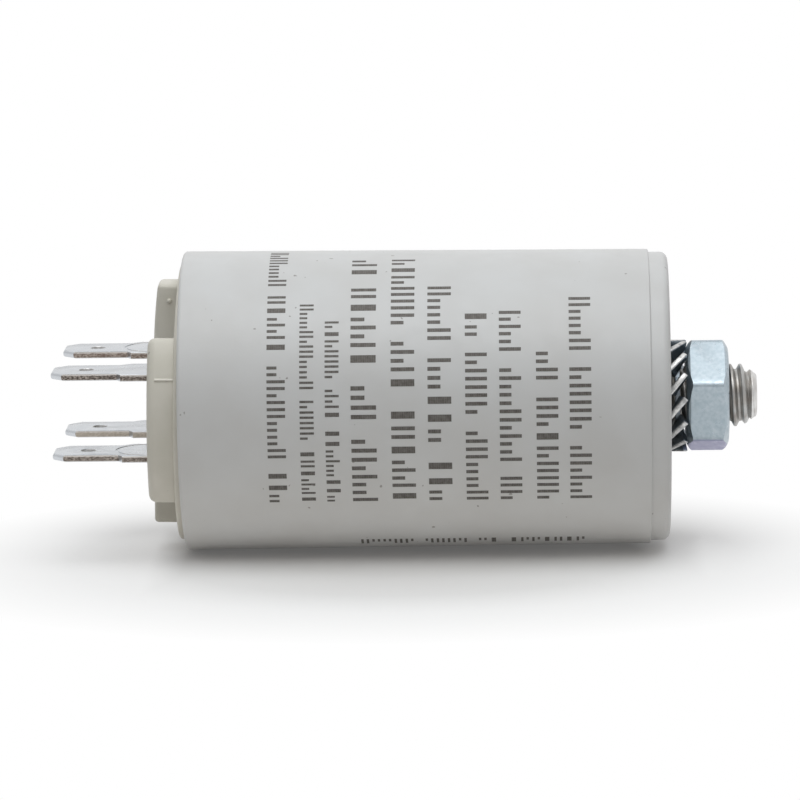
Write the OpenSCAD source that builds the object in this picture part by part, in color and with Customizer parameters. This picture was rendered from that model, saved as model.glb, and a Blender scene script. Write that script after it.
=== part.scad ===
// Stud-mounted motor-run capacitor: a moulded round can with a lid of blade terminals at one end
// and a threaded stud with a toothed washer and a nut at the other. It lies on its side. The axis
// runs along X, with the stud towards +X, and the origin is the centre of the can's base. Millimetres.

/* [Can] */
// Outer diameter of the can at its open end
can_d = 35.1; // [32:0.1:60]
// Length of the can from its base to its open end
can_l = 56.6; // [45:0.1:120]
// Taper of the can: how much less its diameter is at the base than at the open end
can_taper = 0.6; // [0:0.1:1.2]
// Wall beside the winding, at the open end
can_wall = 1.8; // [1.4:0.1:3]
// Wall beside the lid
seat_wall = 1.2; // [0.8:0.05:1.3]
// Thickness of the base
base_t = 3; // [2.5:0.1:6]
// Length of the narrower band round the base
band_l = 2.25; // [1.5:0.05:5]
// Step in radius between the can and that band
band_step = 0.35; // [0.1:0.05:0.8]
// Rounding of the base's outer edge
base_round = 0.9; // [0.3:0.1:1.2]
// Rounding of the open end's outer edge
mouth_round = 0.45; // [0.2:0.05:0.6]
// Depth of the shallow recess round the stud
recess_depth = 0.3; // [0.1:0.05:1]
// Room round the washer inside that recess
recess_margin = 1.4; // [0.5:0.1:4]

/* [Lid] */
// Thickness of the lid's plate
lid_t = 3; // [2:0.1:5]
// How far the plate stands out of the can
lid_proud = 0.55; // [0.2:0.05:1.2]
// Clearance between the lid and the can
lid_clear = 0.1; // [0.02:0.01:0.3]
// Height of the rib and of the two curved guards above the plate
guard_h = 3.1; // [1.5:0.05:6]
// Thickness of each curved guard
guard_t = 2; // [1.2:0.1:3]
// Distance of a guard from the edge of the plate
guard_inset = 0.65; // [0.2:0.05:1.5]
// Length of each guard, across its ends
guard_l = 20.1; // [14:0.1:24]
// Turn of the two guards about the axis, from level
guard_turn = 1.7; // [-5:0.1:5]
// Width of the straight rib between the terminals
rib_w = 4.8; // [2:0.1:6]
// Distance of the rib's ends from the edge of the plate
rib_inset = 1.95; // [0.5:0.05:4]

/* [Terminals] */
// Thickness of the terminal strip
tab_t = 0.8; // [0.5:0.05:1.2]
// Width of a blade
tab_w = 6.3; // [4.8:0.1:7]
// Length of a blade, from its tip to its shoulder
tab_l = 7.7; // [6:0.1:12]
// Width of the shoulder below a blade
shoulder_w = 8.1; // [7.2:0.1:8.6]
// Length of the slope between blade and shoulder
shoulder_slope = 1; // [0.3:0.1:2]
// Distance from the lid's plate to the end of that slope
shoulder_l = 5.7; // [3.5:0.1:9]
// Chamfer along a blade's tip
tip_chamfer = 1.3; // [0.5:0.1:2]
// Diameter of the detent hole in a blade
detent_d = 1.7; // [1:0.1:2.4]
// Distance from a blade's tip to the centre of its detent hole
detent_from_tip = 4; // [3:0.1:5]
// Distance between the middle planes of the two terminal strips
strip_pitch = 9.5; // [7:0.1:14]
// Clearance between a shoulder and the curved guard beside it
tab_guard_gap = 0.25; // [0.1:0.05:1]
// Clearance all round a shoulder in its slot through the lid
slot_clear = 0.1; // [0.05:0.01:0.3]
// Width of the bar that joins the two blades of a strip, inside the can
bar_w = 3; // [2:0.1:5]

/* [Stud] */
// Diameter over the thread's crests
stud_d = 7.8; // [5:0.1:10]
// Depth of the thread, from its crests to the line where nut and stud share it
thread_depth = 0.3; // [0.1:0.05:0.6]
// Clearance between the nut and the stud at that line
thread_clear = 0.05; // [0.02:0.01:0.1]
// Length of the stud beyond the base
stud_l = 10.35; // [9:0.05:20]
// Length of the tapered lead-in at the stud's tip
stud_lead = 1.9; // [0.5:0.05:2]
// Radius that the lead-in takes off
stud_chamfer = 1.25; // [0.5:0.05:2]
// Distance from the nut to the first full thread beyond it
stud_free_gap = 0.1; // [0.05:0.05:0.5]
// Diameter of the stud's moulded-in head
head_d = 12; // [11:0.1:16]
// Thickness of that head
head_t = 2.5; // [1.5:0.1:4]
// Plastic between the head and the washer
head_cover = 2.2; // [1.5:0.1:4]
// Plastic round the head and behind it
boss_wall = 1.4; // [0.8:0.1:3]
// Clearance between the moulded-in stud and the plastic
mould_clear = 0.02; // [0.01:0.01:0.05]

/* [Nut and washer] */
// Width of the nut across its flats
nut_af = 12; // [11.6:0.1:17]
// Thickness of the nut
nut_t = 5; // [3:0.1:8]
// Angle of the nut's corner nearest the front, above the horizontal
nut_turn = 20; // [0:1:59]
// Slope of the chamfers on the nut's corners
nut_chamfer_deg = 25; // [15:1:40]
// Share of the width across flats that the nut's flat end faces keep
nut_face_share = 0.77; // [0.72:0.01:0.98]
// Outer diameter of the washer over its teeth
washer_d = 13.3; // [12:0.1:18]
// Clearance between the washer's bore and the stud
washer_clear = 0.3; // [0.1:0.05:0.6]
// Width of the washer's plain ring
washer_ring_w = 0.95; // [0.6:0.05:1.2]
// Thickness of the washer's sheet
washer_t = 0.6; // [0.4:0.05:0.8]
// Number of teeth
washer_teeth = 14; // [8:1:16]
// Width of a tooth at its tip
tooth_w = 3.1; // [2:0.05:3.2]
// Width of a tooth at its root
tooth_root_w = 2.1; // [1.4:0.05:2.4]
// Twist of a tooth out of the washer's plane
tooth_twist = 35; // [15:1:45]
// Angle of the tooth nearest the front, above the horizontal
washer_turn = 22; // [0:1:44]
// Clearance left between the teeth and the faces that they bite
bite_clear = 0.03; // [0.01:0.01:0.1]

/* [Winding] */
// Space between the winding and the can, filled with resin
winding_gap = 1.3; // [0.6:0.1:3]
// Space between the lid and the winding
lid_room = 6.6; // [5.5:0.1:12]
// Space between the insulating disc and the winding
base_room = 2.6; // [2:0.1:6]
// Thickness of the sprayed metal layer on each end of the winding
spray_t = 0.5; // [0.3:0.1:1]
// Thickness of the insulating disc over the stud's head
disc_t = 0.8; // [0.4:0.1:2]
// Outer diameter of the core tube
core_d = 8; // [6:0.1:10]
// Wall of the core tube
core_wall = 1; // [0.6:0.1:1.4]
// Diameter of the bare lead wires
wire_d = 1; // [0.6:0.05:1.2]
// Wall of the sleeve on the lead through the core
sleeve_wall = 0.5; // [0.3:0.05:0.8]
// Width of a solder joint
solder_d = 3; // [2.2:0.1:4]
// Height of the solder round the foot of a lead
solder_h = 0.7; // [0.3:0.1:1.2]
// Solder left round a lead at the top of its foot
solder_lip = 0.3; // [0.1:0.05:0.6]
// How far the lower lead is bent out beyond the core, on to the sprayed layer
lead_reach = 3.4; // [2.4:0.1:5]
// Depth of the gap between the resin and the terminal bars
resin_drop = 0.6; // [0.3:0.1:2]
// Clearance between the inner pieces and what they touch
inner_clear = 0.05; // [0.02:0.01:0.1]

/* [Hidden] */
$fn = 96;

// A cut that has to leave a face clean runs past it by this much
over = 1;

// Radii of the can, the lid and its guards
mouth_r = can_d / 2;
shoulder_r = mouth_r - can_taper / 2;
band_r = shoulder_r - band_step;
seat_r = mouth_r - seat_wall;
bore_r = mouth_r - can_wall;
lid_r = seat_r - lid_clear;
guard_out_r = lid_r - guard_inset;
guard_in_r = guard_out_r - guard_t;
guard_half_angle = asin(guard_l / 2 / guard_out_r);
rib_end_r = lid_r - rib_inset;

// Places along the axis, from the open end to the base
lid_under_x = -can_l + lid_t - lid_proud;
lid_face_x = -can_l - lid_proud;
bar_end_x = lid_under_x + bar_w;
shoulder_x = lid_face_x - shoulder_l;
tip_x = shoulder_x - shoulder_slope - tab_l;
roll_lid_x = lid_under_x + lid_room;
seat_x = -recess_depth;
head_x = seat_x - head_cover;
boss_x = head_x - head_t - boss_wall;
disc_x = boss_x - inner_clear - disc_t;
roll_base_x = disc_x - base_room;
resin_x = bar_end_x + resin_drop;

// The terminal strips
strip_z = strip_pitch / 2;
strip_face_z = strip_z + tab_t / 2;
shoulder_y = sqrt(guard_in_r * guard_in_r - strip_face_z * strip_face_z) - tab_guard_gap;
tab_y = shoulder_y - shoulder_w / 2;

// The stud and what is on it
stud_r = stud_d / 2;
core_r = stud_r - thread_depth;
head_r = head_d / 2;
boss_r = head_r + boss_wall;
recess_r = washer_d / 2 + recess_margin;
tooth_half_h = (tooth_w * sin(tooth_twist) + washer_t * cos(tooth_twist)) / 2;
washer_x = seat_x + bite_clear + tooth_half_h;
nut_x = washer_x + tooth_half_h + bite_clear;
nut_end_x = nut_x + nut_t;
nut_corner_r = nut_af / 2 / cos(30);
nut_face_r = nut_face_share * nut_af / 2;
nut_cone_r = nut_corner_r + over / 4;
nut_cone_l = (nut_cone_r - nut_face_r) * tan(nut_chamfer_deg);
washer_in_r = stud_r + washer_clear;
washer_ring_r = washer_in_r + washer_ring_w;

// The winding and its leads
roll_r = bore_r - winding_gap;
roll_l = roll_base_x - roll_lid_x;
core_tube_r = core_d / 2;
core_bore_r = core_tube_r - core_wall;
wire_r = wire_d / 2;
wire_z = strip_face_z + inner_clear + wire_r;
wire_end_x = lid_under_x + wire_r;
bend_lid_x = (resin_x + roll_lid_x) / 2;
bend_base_x = (disc_x + roll_base_x) / 2;
lead_foot_z = core_tube_r + lead_reach;
sleeve_r = wire_r + inner_clear + sleeve_wall;

// Turns a shape drawn as [radius, x] into a body of revolution about the X axis
module turned() {
    rotate([90, 0, 90]) rotate_extrude() children();
}

// Extrudes an outline drawn as [y, z] along X, from x0 to x1
module along_x(x0, x1) {
    translate([x0, 0, 0]) rotate([90, 0, 90]) linear_extrude(x1 - x0) children();
}

// A round bar or disc on the X axis, from x0 to x1
module round_x(r, x0, x1) {
    translate([x0, 0, 0]) rotate([0, 90, 0]) cylinder(r = r, h = x1 - x0);
}

// A rectangle in [radius, x], from the axis out to r
module reach(r, x0, x1) {
    translate([0, x0]) square([r, x1 - x0]);
}

// The sliver outside a rounding of an outer corner at [r, x]; side is the way the corner points along x
module corner_sliver(r, x, round_r, side) {
    difference() {
        translate([r - round_r, side > 0 ? x - round_r : x - over]) square([round_r + over, round_r + over]);
        translate([r - round_r, x - side * round_r]) circle(round_r);
    }
}

module can() {
    color("#d6d6d2") turned() difference() {
        polygon([
            [0, -can_l], [mouth_r, -can_l], [shoulder_r, -band_l], [band_r, -band_l], [band_r, 0], [0, 0]
        ]);
        corner_sliver(mouth_r, -can_l, mouth_round, -1);
        corner_sliver(band_r, 0, base_round, 1);
        reach(seat_r, -can_l - over, lid_under_x);
        difference() {
            reach(bore_r, lid_under_x - over, -base_t);
            reach(boss_r, boss_x, 0);
        }
        reach(recess_r, seat_x, over);
        reach(core_r + mould_clear, head_x - over / 2, over);
        reach(head_r + mould_clear, head_x - head_t - mould_clear, head_x + mould_clear);
    }
}

// One curved guard in [y, z], on the side that dir gives
module guard_outline(dir) {
    far = 2 * guard_out_r;
    intersection() {
        difference() {
            circle(guard_out_r);
            circle(guard_in_r);
        }
        polygon([
            [0, 0],
            [dir * far * cos(guard_half_angle), far * sin(guard_half_angle)],
            [dir * far * cos(guard_half_angle), -far * sin(guard_half_angle)]
        ]);
    }
}

// The straight rib in [y, z], with ends that follow the plate's edge
module rib_outline() {
    intersection() {
        circle(rib_end_r);
        square([rib_w, 2 * lid_r], center = true);
    }
}

// The slots in [y, z] that let the shoulders of both strips through the lid
module slot_outlines() {
    for (side = [-1, 1], level = [-1, 1])
        translate([side * tab_y, level * strip_z])
            square([shoulder_w + 2 * slot_clear, tab_t + 2 * slot_clear], center = true);
}

module lid() {
    color("#c9c7b8") {
        along_x(lid_face_x, lid_under_x) difference() {
            circle(lid_r);
            slot_outlines();
        }
        along_x(lid_face_x - guard_h, lid_face_x) {
            rib_outline();
            rotate(guard_turn) for (dir = [-1, 1]) guard_outline(dir);
        }
    }
}

// Half of a strip's outline in [x, y]: half of the bar and one blade, without its detent hole
half_strip = [
    [lid_under_x, tab_y - shoulder_w / 2],
    [shoulder_x, tab_y - shoulder_w / 2],
    [tip_x + tab_l, tab_y - tab_w / 2],
    [tip_x + tip_chamfer, tab_y - tab_w / 2],
    [tip_x, tab_y - tab_w / 2 + tip_chamfer],
    [tip_x, tab_y + tab_w / 2 - tip_chamfer],
    [tip_x + tip_chamfer, tab_y + tab_w / 2],
    [tip_x + tab_l, tab_y + tab_w / 2],
    [shoulder_x, shoulder_y],
    [bar_end_x, shoulder_y]
];
other_half = [for (i = [len(half_strip) - 1:-1:0]) [half_strip[i][0], -half_strip[i][1]]];

// One stamped strip with two blades, lying level at height z
module terminal_strip(z) {
    color("#cfd2d6") translate([0, 0, z - tab_t / 2]) linear_extrude(tab_t) difference() {
        polygon(concat(half_strip, other_half));
        for (side = [-1, 1]) translate([tip_x + detent_from_tip, side * tab_y]) circle(detent_d / 2);
    }
}

module terminal_upper() {
    terminal_strip(strip_z);
}

module terminal_lower() {
    terminal_strip(-strip_z);
}

module mounting_stud() {
    free_x = nut_end_x + stud_free_gap;
    color("#b3aea8") turned() {
        reach(head_r, head_x - head_t, head_x);
        reach(core_r, head_x - head_t, free_x + over / 4);
        polygon([
            [0, free_x], [stud_r, free_x], [stud_r, stud_l - stud_lead],
            [stud_r - stud_chamfer, stud_l], [0, stud_l]
        ]);
    }
}

// One tooth of the washer, twisted about its own middle line
module tooth() {
    root_r = washer_ring_r - washer_ring_w / 2;
    rotate([0, 0, -tooth_twist])
        along_x(-washer_t / 2, washer_t / 2) polygon([
            [-tooth_root_w / 2, root_r], [tooth_root_w / 2, root_r],
            [tooth_w / 2, washer_d / 2], [-tooth_w / 2, washer_d / 2]
        ]);
}

module lock_washer() {
    color("#55595c") translate([washer_x, 0, 0]) intersection() {
        union() {
            round_x(washer_ring_r, -washer_t / 2, washer_t / 2);
            for (i = [0:washer_teeth - 1])
                rotate([90 - washer_turn + i * 360 / washer_teeth, 0, 0]) tooth();
        }
        turned() difference() {
            reach(washer_d / 2, -tooth_half_h, tooth_half_h);
            reach(washer_in_r, -over - tooth_half_h, over + tooth_half_h);
        }
    }
}

module hex_nut() {
    bore = core_r + thread_clear;
    color("#b4c0cb") intersection() {
        along_x(nut_x, nut_end_x) rotate(180 - nut_turn) circle(nut_corner_r, $fn = 6);
        turned() polygon([
            [bore, nut_x], [nut_face_r, nut_x],
            [nut_cone_r, nut_x + nut_cone_l], [nut_cone_r, nut_end_x - nut_cone_l],
            [nut_face_r, nut_end_x], [bore, nut_end_x]
        ]);
    }
}

module winding() {
    color("#d9dde0") difference() {
        round_x(roll_r, roll_lid_x + spray_t, roll_base_x - spray_t);
        round_x(core_tube_r + inner_clear, roll_lid_x - over, roll_base_x + over);
    }
}

module core_tube() {
    color("#8f8a80") difference() {
        round_x(core_tube_r, roll_lid_x, roll_base_x);
        round_x(core_bore_r, roll_lid_x - over, roll_base_x + over);
    }
}

// One sprayed layer, from x0 to x1
module end_spray(x0, x1) {
    color("#9aa0a4") difference() {
        round_x(roll_r, x0, x1);
        round_x(core_tube_r + inner_clear, x0 - over, x1 + over);
    }
}

module end_spray_lid_side() {
    end_spray(roll_lid_x, roll_lid_x + spray_t);
}

module end_spray_base_side() {
    end_spray(roll_base_x - spray_t, roll_base_x);
}

module insulating_disc() {
    color("#a98f63") round_x(bore_r - inner_clear, disc_x, disc_x + disc_t);
}

// A straight length of wire between two points [x, z] in the plane y = 0, with round ends
module wire(from, to, r) {
    run = to - from;
    translate([from[0], 0, from[1]]) {
        rotate([0, 90 - atan2(run[1], run[0]), 0]) cylinder(r = r, h = norm(run));
        sphere(r);
    }
    translate([to[0], 0, to[1]]) sphere(r);
}

// A wire along a row of points, of radius r
module wire_path(points, r) {
    for (i = [0:len(points) - 2]) wire(points[i], points[i + 1], r);
}

// The upper lead, from the strip to the sprayed layer next to it
module upper_wire(grow) {
    wire_path([[wire_end_x, wire_z], [roll_lid_x - inner_clear - wire_r, wire_z]], wire_r + grow);
}

// The lower lead, through the core and back on to the far sprayed layer
module lower_wire(grow) {
    wire_path([
        [wire_end_x, -wire_z], [bend_lid_x, -wire_z], [bend_lid_x, 0], [bend_base_x, 0],
        [bend_base_x, -lead_foot_z], [roll_base_x + inner_clear + wire_r, -lead_foot_z]
    ], wire_r + grow);
}

module lead_upper() {
    color("#b98a5a") upper_wire(0);
}

module lead_lower() {
    color("#b98a5a") lower_wire(0);
}

module lead_sleeve() {
    from_x = roll_lid_x - spray_t;
    to_x = roll_base_x + spray_t;
    color("#f0efe6") difference() {
        round_x(sleeve_r, from_x, to_x);
        round_x(wire_r + inner_clear, from_x - over, to_x + over);
    }
}

// The two beads of solder that hold the leads on the strips
module strip_beads(grow) {
    r = solder_d / 2 + grow;
    along_x(lid_under_x - grow, lid_under_x + solder_d + grow)
        for (level = [0, 1]) mirror([0, level]) difference() {
            intersection() {
                translate([0, strip_face_z]) circle(r);
                translate([-r, strip_face_z + inner_clear - grow]) square([2 * r, r]);
            }
            if (grow == 0) translate([0, wire_z]) circle(wire_r + inner_clear);
        }
}

// One cone of solder round the foot of a lead, on the sprayed layer at x and height z; way is its direction
module foot_cone(x, z, way, grow) {
    gap = inner_clear - grow;
    translate([x + way * gap, 0, z]) rotate([0, way * 90, 0]) difference() {
        cylinder(r1 = solder_d / 2 + grow, r2 = wire_r + solder_lip + grow, h = solder_h + 2 * grow);
        if (grow == 0) translate([0, 0, -over]) cylinder(r = wire_r + inner_clear, h = solder_h + 2 * over);
    }
}

// The solder on the two feet
module foot_cones(grow) {
    foot_cone(roll_lid_x, wire_z, -1, grow);
    foot_cone(roll_base_x, -lead_foot_z, 1, grow);
}

module solder_joints() {
    color("#bfc3c6") {
        strip_beads(0);
        foot_cones(0);
    }
}

module potting_resin() {
    color("#6d6a5c") difference() {
        round_x(bore_r - inner_clear, resin_x, disc_x - inner_clear);
        round_x(roll_r + inner_clear, roll_lid_x - inner_clear, roll_base_x + inner_clear);
        round_x(sleeve_r + inner_clear, bend_lid_x, bend_base_x);
        upper_wire(inner_clear);
        lower_wire(inner_clear);
        foot_cones(inner_clear);
    }
}

can();
lid();
terminal_upper();
terminal_lower();
mounting_stud();
lock_washer();
hex_nut();
winding();
core_tube();
end_spray_lid_side();
end_spray_base_side();
insulating_disc();
lead_upper();
lead_lower();
lead_sleeve();
solder_joints();
potting_resin();
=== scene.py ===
"""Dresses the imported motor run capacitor: its meshes, their finishes, and the studio.

All sizes are in metres, in the part's own frame: the axis runs along X, the stud points to +X, Z is up.
"""

import logging
import math
from collections.abc import Callable, Sequence
from dataclasses import dataclass
from enum import Enum

import bmesh
import bpy
from bmesh.types import BMEdge
from bpy.types import Material, MeshPolygon, NodeSocket, NodeTree, Object
from mathutils import Matrix, Vector


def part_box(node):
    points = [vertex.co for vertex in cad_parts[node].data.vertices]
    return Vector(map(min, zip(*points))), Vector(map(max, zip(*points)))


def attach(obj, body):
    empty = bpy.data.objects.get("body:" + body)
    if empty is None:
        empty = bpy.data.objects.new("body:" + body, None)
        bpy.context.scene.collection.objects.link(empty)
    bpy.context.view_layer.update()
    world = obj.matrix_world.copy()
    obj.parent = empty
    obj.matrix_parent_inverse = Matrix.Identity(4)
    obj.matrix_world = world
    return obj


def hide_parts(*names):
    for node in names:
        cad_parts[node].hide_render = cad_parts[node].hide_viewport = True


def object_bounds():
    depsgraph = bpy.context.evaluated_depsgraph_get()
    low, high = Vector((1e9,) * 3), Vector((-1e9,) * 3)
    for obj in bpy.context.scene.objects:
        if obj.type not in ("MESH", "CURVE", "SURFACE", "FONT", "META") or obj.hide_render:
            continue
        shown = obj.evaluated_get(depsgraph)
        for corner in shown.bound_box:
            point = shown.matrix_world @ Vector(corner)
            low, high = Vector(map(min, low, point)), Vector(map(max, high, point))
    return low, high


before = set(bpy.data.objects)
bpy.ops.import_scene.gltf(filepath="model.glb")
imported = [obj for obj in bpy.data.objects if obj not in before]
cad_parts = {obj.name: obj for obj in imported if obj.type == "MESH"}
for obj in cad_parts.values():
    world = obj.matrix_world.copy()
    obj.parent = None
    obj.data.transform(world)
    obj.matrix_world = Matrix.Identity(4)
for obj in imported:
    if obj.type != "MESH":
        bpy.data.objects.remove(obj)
cad_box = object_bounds()
log = logging.getLogger("capacitor")

Colour = tuple[float, float, float]
Corner = tuple[float, float, float]
Triple = tuple[float, float, float]
Span = tuple[float, float]
Box = tuple[float, float, float, float]

MM = 0.001
WELD = 0.001 * MM

# Stretches that hold most of the noise's values
USUAL_NOISE: Span = (0.3, 0.7)
CLOUDY_NOISE: Span = (0.35, 0.65)


class Boolean(Enum):
    """How one mesh works on another."""

    JOIN = "UNION"
    CUT = "DIFFERENCE"
    KEEP_SHARED = "INTERSECT"


class Level(Enum):
    """Which of the two terminal strips."""

    UPPER = 1
    LOWER = -1


class Side(Enum):
    """Which of two blades or guards: the one nearest the camera or the one behind it."""

    FRONT = -1
    BACK = 1


class StripFace(Enum):
    """Which of a strip's materials a face has."""

    PLATED = 0
    SHEARED = 1
    PUNCHED = 2


def rounded(corners: Sequence[Corner], steps: int, closed: bool = False) -> list[Vector]:
    """Turns an outline's corners into points, with an arc wherever a corner has a radius.

    Args:
        corners: two coordinates and a radius for each corner.
        steps: how many straight pieces an arc has.
        closed: whether the last corner joins the first.

    Returns:
        The outline's points, as 2D vectors.
    """
    points: list[Vector] = []
    last = len(corners) - 1
    for i, (u, v, radius) in enumerate(corners):
        here = Vector((u, v))
        if radius == 0 or (not closed and i in (0, last)):
            points.append(here)
            continue
        back = (Vector(corners[i - 1][:2]) - here).normalized()
        on = (Vector(corners[(i + 1) % (last + 1)][:2]) - here).normalized()
        half = back.angle(on) / 2
        centre = here + (back + on).normalized() * radius / math.sin(half)
        reach = radius / math.tan(half)
        start = (here + back * reach - centre).normalized()
        end = (here + on * reach - centre).normalized()
        points += [centre + start.slerp(end, k / steps) * radius for k in range(steps + 1)]
    return points


class Bench:
    """Modelling moves, made with Blender's own operators on the mesh at hand."""

    @staticmethod
    def clear() -> None:
        """Goes back to object mode with nothing selected."""
        if bpy.context.mode != "OBJECT":
            bpy.ops.object.mode_set(mode="OBJECT")
        bpy.ops.object.select_all(action="DESELECT")

    @staticmethod
    def pick(piece: Object) -> None:
        """Selects one piece alone, in object mode.

        Args:
            piece: the object to select.
        """
        Bench.clear()
        bpy.context.view_layer.objects.active = piece
        piece.select_set(True)

    @staticmethod
    def added(name: str) -> Object:
        """Names the object that was just added, puts its place into its mesh, and opens it for editing.

        Args:
            name: name of the object and of its mesh.

        Returns:
            The object, in edit mode with all of its mesh selected.
        """
        piece = bpy.context.active_object
        piece.name = name
        piece.data.name = name
        bpy.ops.object.transform_apply(location=True, rotation=True, scale=True)
        Bench.edit(piece)
        return piece

    @staticmethod
    def edit(piece: Object) -> None:
        """Opens a piece for editing, with all of its mesh selected.

        Args:
            piece: the object to open.
        """
        Bench.pick(piece)
        bpy.ops.object.mode_set(mode="EDIT")
        bpy.ops.mesh.select_mode(type="VERT")
        bpy.ops.mesh.select_all(action="SELECT")

    @staticmethod
    def apply(piece: Object, modifier: str) -> None:
        """Applies one of a piece's modifiers.

        Args:
            piece: the object that has the modifier.
            modifier: the modifier's name.
        """
        Bench.pick(piece)
        bpy.ops.object.modifier_apply(modifier=modifier)

    @staticmethod
    def close() -> None:
        """Merges doubles, turns all faces outwards and leaves edit mode."""
        bpy.ops.mesh.select_all(action="SELECT")
        bpy.ops.mesh.remove_doubles(threshold=WELD)
        bpy.ops.mesh.normals_make_consistent(inside=False)
        # A bent shape can come out inside out, which its volume tells
        if bmesh.from_edit_mesh(bpy.context.active_object.data).calc_volume(signed=True) < 0:
            bpy.ops.mesh.flip_normals()
        Bench.clear()

    @staticmethod
    def path(name: str, points: Sequence[Vector]) -> Object:
        """Draws a row of edges by extruding one vertex from point to point.

        Args:
            name: name of the new object.
            points: the places of the vertices.

        Returns:
            The object, in edit mode with all of its mesh selected.
        """
        Bench.clear()
        bpy.ops.mesh.primitive_plane_add(size=MM)
        piece = Bench.added(name)
        bpy.ops.mesh.merge(type="CENTER")
        bpy.ops.transform.translate(value=points[0])
        for start, end in zip(points, points[1:]):
            bpy.ops.mesh.extrude_vertices_move(TRANSFORM_OT_translate={"value": end - start})
        bpy.ops.mesh.select_all(action="SELECT")
        return piece

    @staticmethod
    def turned(
        name: str, corners: Sequence[Corner], steps: int, closed: bool = False, arc_steps: int = 5
    ) -> Object:
        """Spins a profile about the X axis.

        Args:
            name: name of the new object.
            corners: place along the axis, radius and rounding of each of the profile's corners.
            steps: how many faces go round.
            closed: whether the last corner joins the first.
            arc_steps: how many straight pieces a rounding has.

        Returns:
            The closed body of revolution.
        """
        profile = rounded(corners, arc_steps, closed)
        if closed:
            profile.append(profile[0])
        piece = Bench.path(name, [Vector((p.x, 0, p.y)) for p in profile])
        bpy.ops.mesh.spin(steps=steps, angle=math.tau, center=(0, 0, 0), axis=(1, 0, 0))
        Bench.close()
        return piece

    @staticmethod
    def prism(name: str, outline: Sequence[Vector], along: Vector) -> Object:
        """Fills an outline and extrudes it.

        Args:
            name: name of the new object.
            outline: the outline's points in space.
            along: the way and the distance of the extrusion.

        Returns:
            The closed prism.
        """
        piece = Bench.path(name, outline)
        bpy.ops.mesh.edge_face_add()
        bpy.ops.mesh.extrude_region_move(TRANSFORM_OT_translate={"value": along})
        Bench.close()
        return piece

    @staticmethod
    def solid(name: str, add: Callable[..., set[str]], **settings: object) -> Object:
        """Adds a plain solid.

        Args:
            name: name of the new object.
            add: the operator that adds it.
            settings: the operator's settings.

        Returns:
            The solid, in object mode.
        """
        Bench.clear()
        add(**settings)
        piece = Bench.added(name)
        Bench.close()
        return piece

    @staticmethod
    def bevel(piece: Object, offset: float, test: Callable[[BMEdge], bool], segments: int = 3) -> None:
        """Bevels the edges of a piece that pass a test.

        Args:
            piece: the object to work on.
            offset: how far the bevel reaches from the edge.
            test: says for each edge whether it is bevelled.
            segments: how many faces the bevel has.
        """
        Bench.edit(piece)
        bpy.ops.mesh.select_mode(type="EDGE")
        bpy.ops.mesh.select_all(action="DESELECT")
        shape = bmesh.from_edit_mesh(piece.data)
        for edge in shape.edges:
            edge.select_set(test(edge))
        bmesh.update_edit_mesh(piece.data)
        bpy.ops.mesh.bevel(offset=offset, segments=segments, profile=0.5, affect="EDGES")
        bpy.ops.mesh.select_mode(type="VERT")
        Bench.close()

    @staticmethod
    def combine(piece: Object, tool: Object, how: Boolean) -> None:
        """Works one closed mesh on another and deletes the tool.

        Args:
            piece: the object that changes.
            tool: the object that joins it, cuts it or bounds it.
            how: which of these it does.
        """
        modifier = piece.modifiers.new("combine", "BOOLEAN")
        modifier.operation = how.value
        modifier.solver = "EXACT"
        modifier.object = tool
        Bench.apply(piece, modifier.name)
        bpy.data.objects.remove(tool, do_unlink=True)

    @staticmethod
    def copies(master: Object, places: Sequence[Matrix], name: str) -> Object:
        """Copies a mesh to several places and joins the copies.

        Args:
            master: the object to copy, which is deleted.
            places: one matrix for each copy.
            name: name of the joined object.

        Returns:
            The joined object.
        """
        Bench.clear()
        for place in places:
            twin = master.copy()
            twin.data = master.data.copy()
            twin.data.transform(place)
            bpy.context.scene.collection.objects.link(twin)
            twin.select_set(True)
            bpy.context.view_layer.objects.active = twin
        bpy.ops.object.join()
        joined = bpy.context.active_object
        joined.name = name
        joined.data.name = name
        bpy.data.objects.remove(master, do_unlink=True)
        return joined

    @staticmethod
    def smooth(piece: Object, angle: float) -> None:
        """Shades a piece smooth, with edges sharper than an angle left crisp.

        Args:
            piece: the object to shade.
            angle: the angle above which an edge stays crisp.
        """
        Bench.pick(piece)
        bpy.ops.object.shade_smooth_by_angle(angle=angle)
        Bench.clear()

    @staticmethod
    def finish(piece: Object, slot: str, nodes: Sequence[str], materials: Sequence[Material]) -> None:
        """Gives a piece its materials and its place in the frame.

        Args:
            piece: the finished mesh.
            slot: the record's material slot; not used.
            nodes: the solids that it stands for.
            materials: its material slots.
        """
        piece.data.materials.clear()
        for material in materials:
            piece.data.materials.append(material)
        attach(piece, "root")
        if nodes:
            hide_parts(*nodes)
        stands_for = ", ".join(nodes) or "itself"
        log.info("%s: %d faces, stands for %s", piece.name, len(piece.data.polygons), stands_for)


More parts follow.
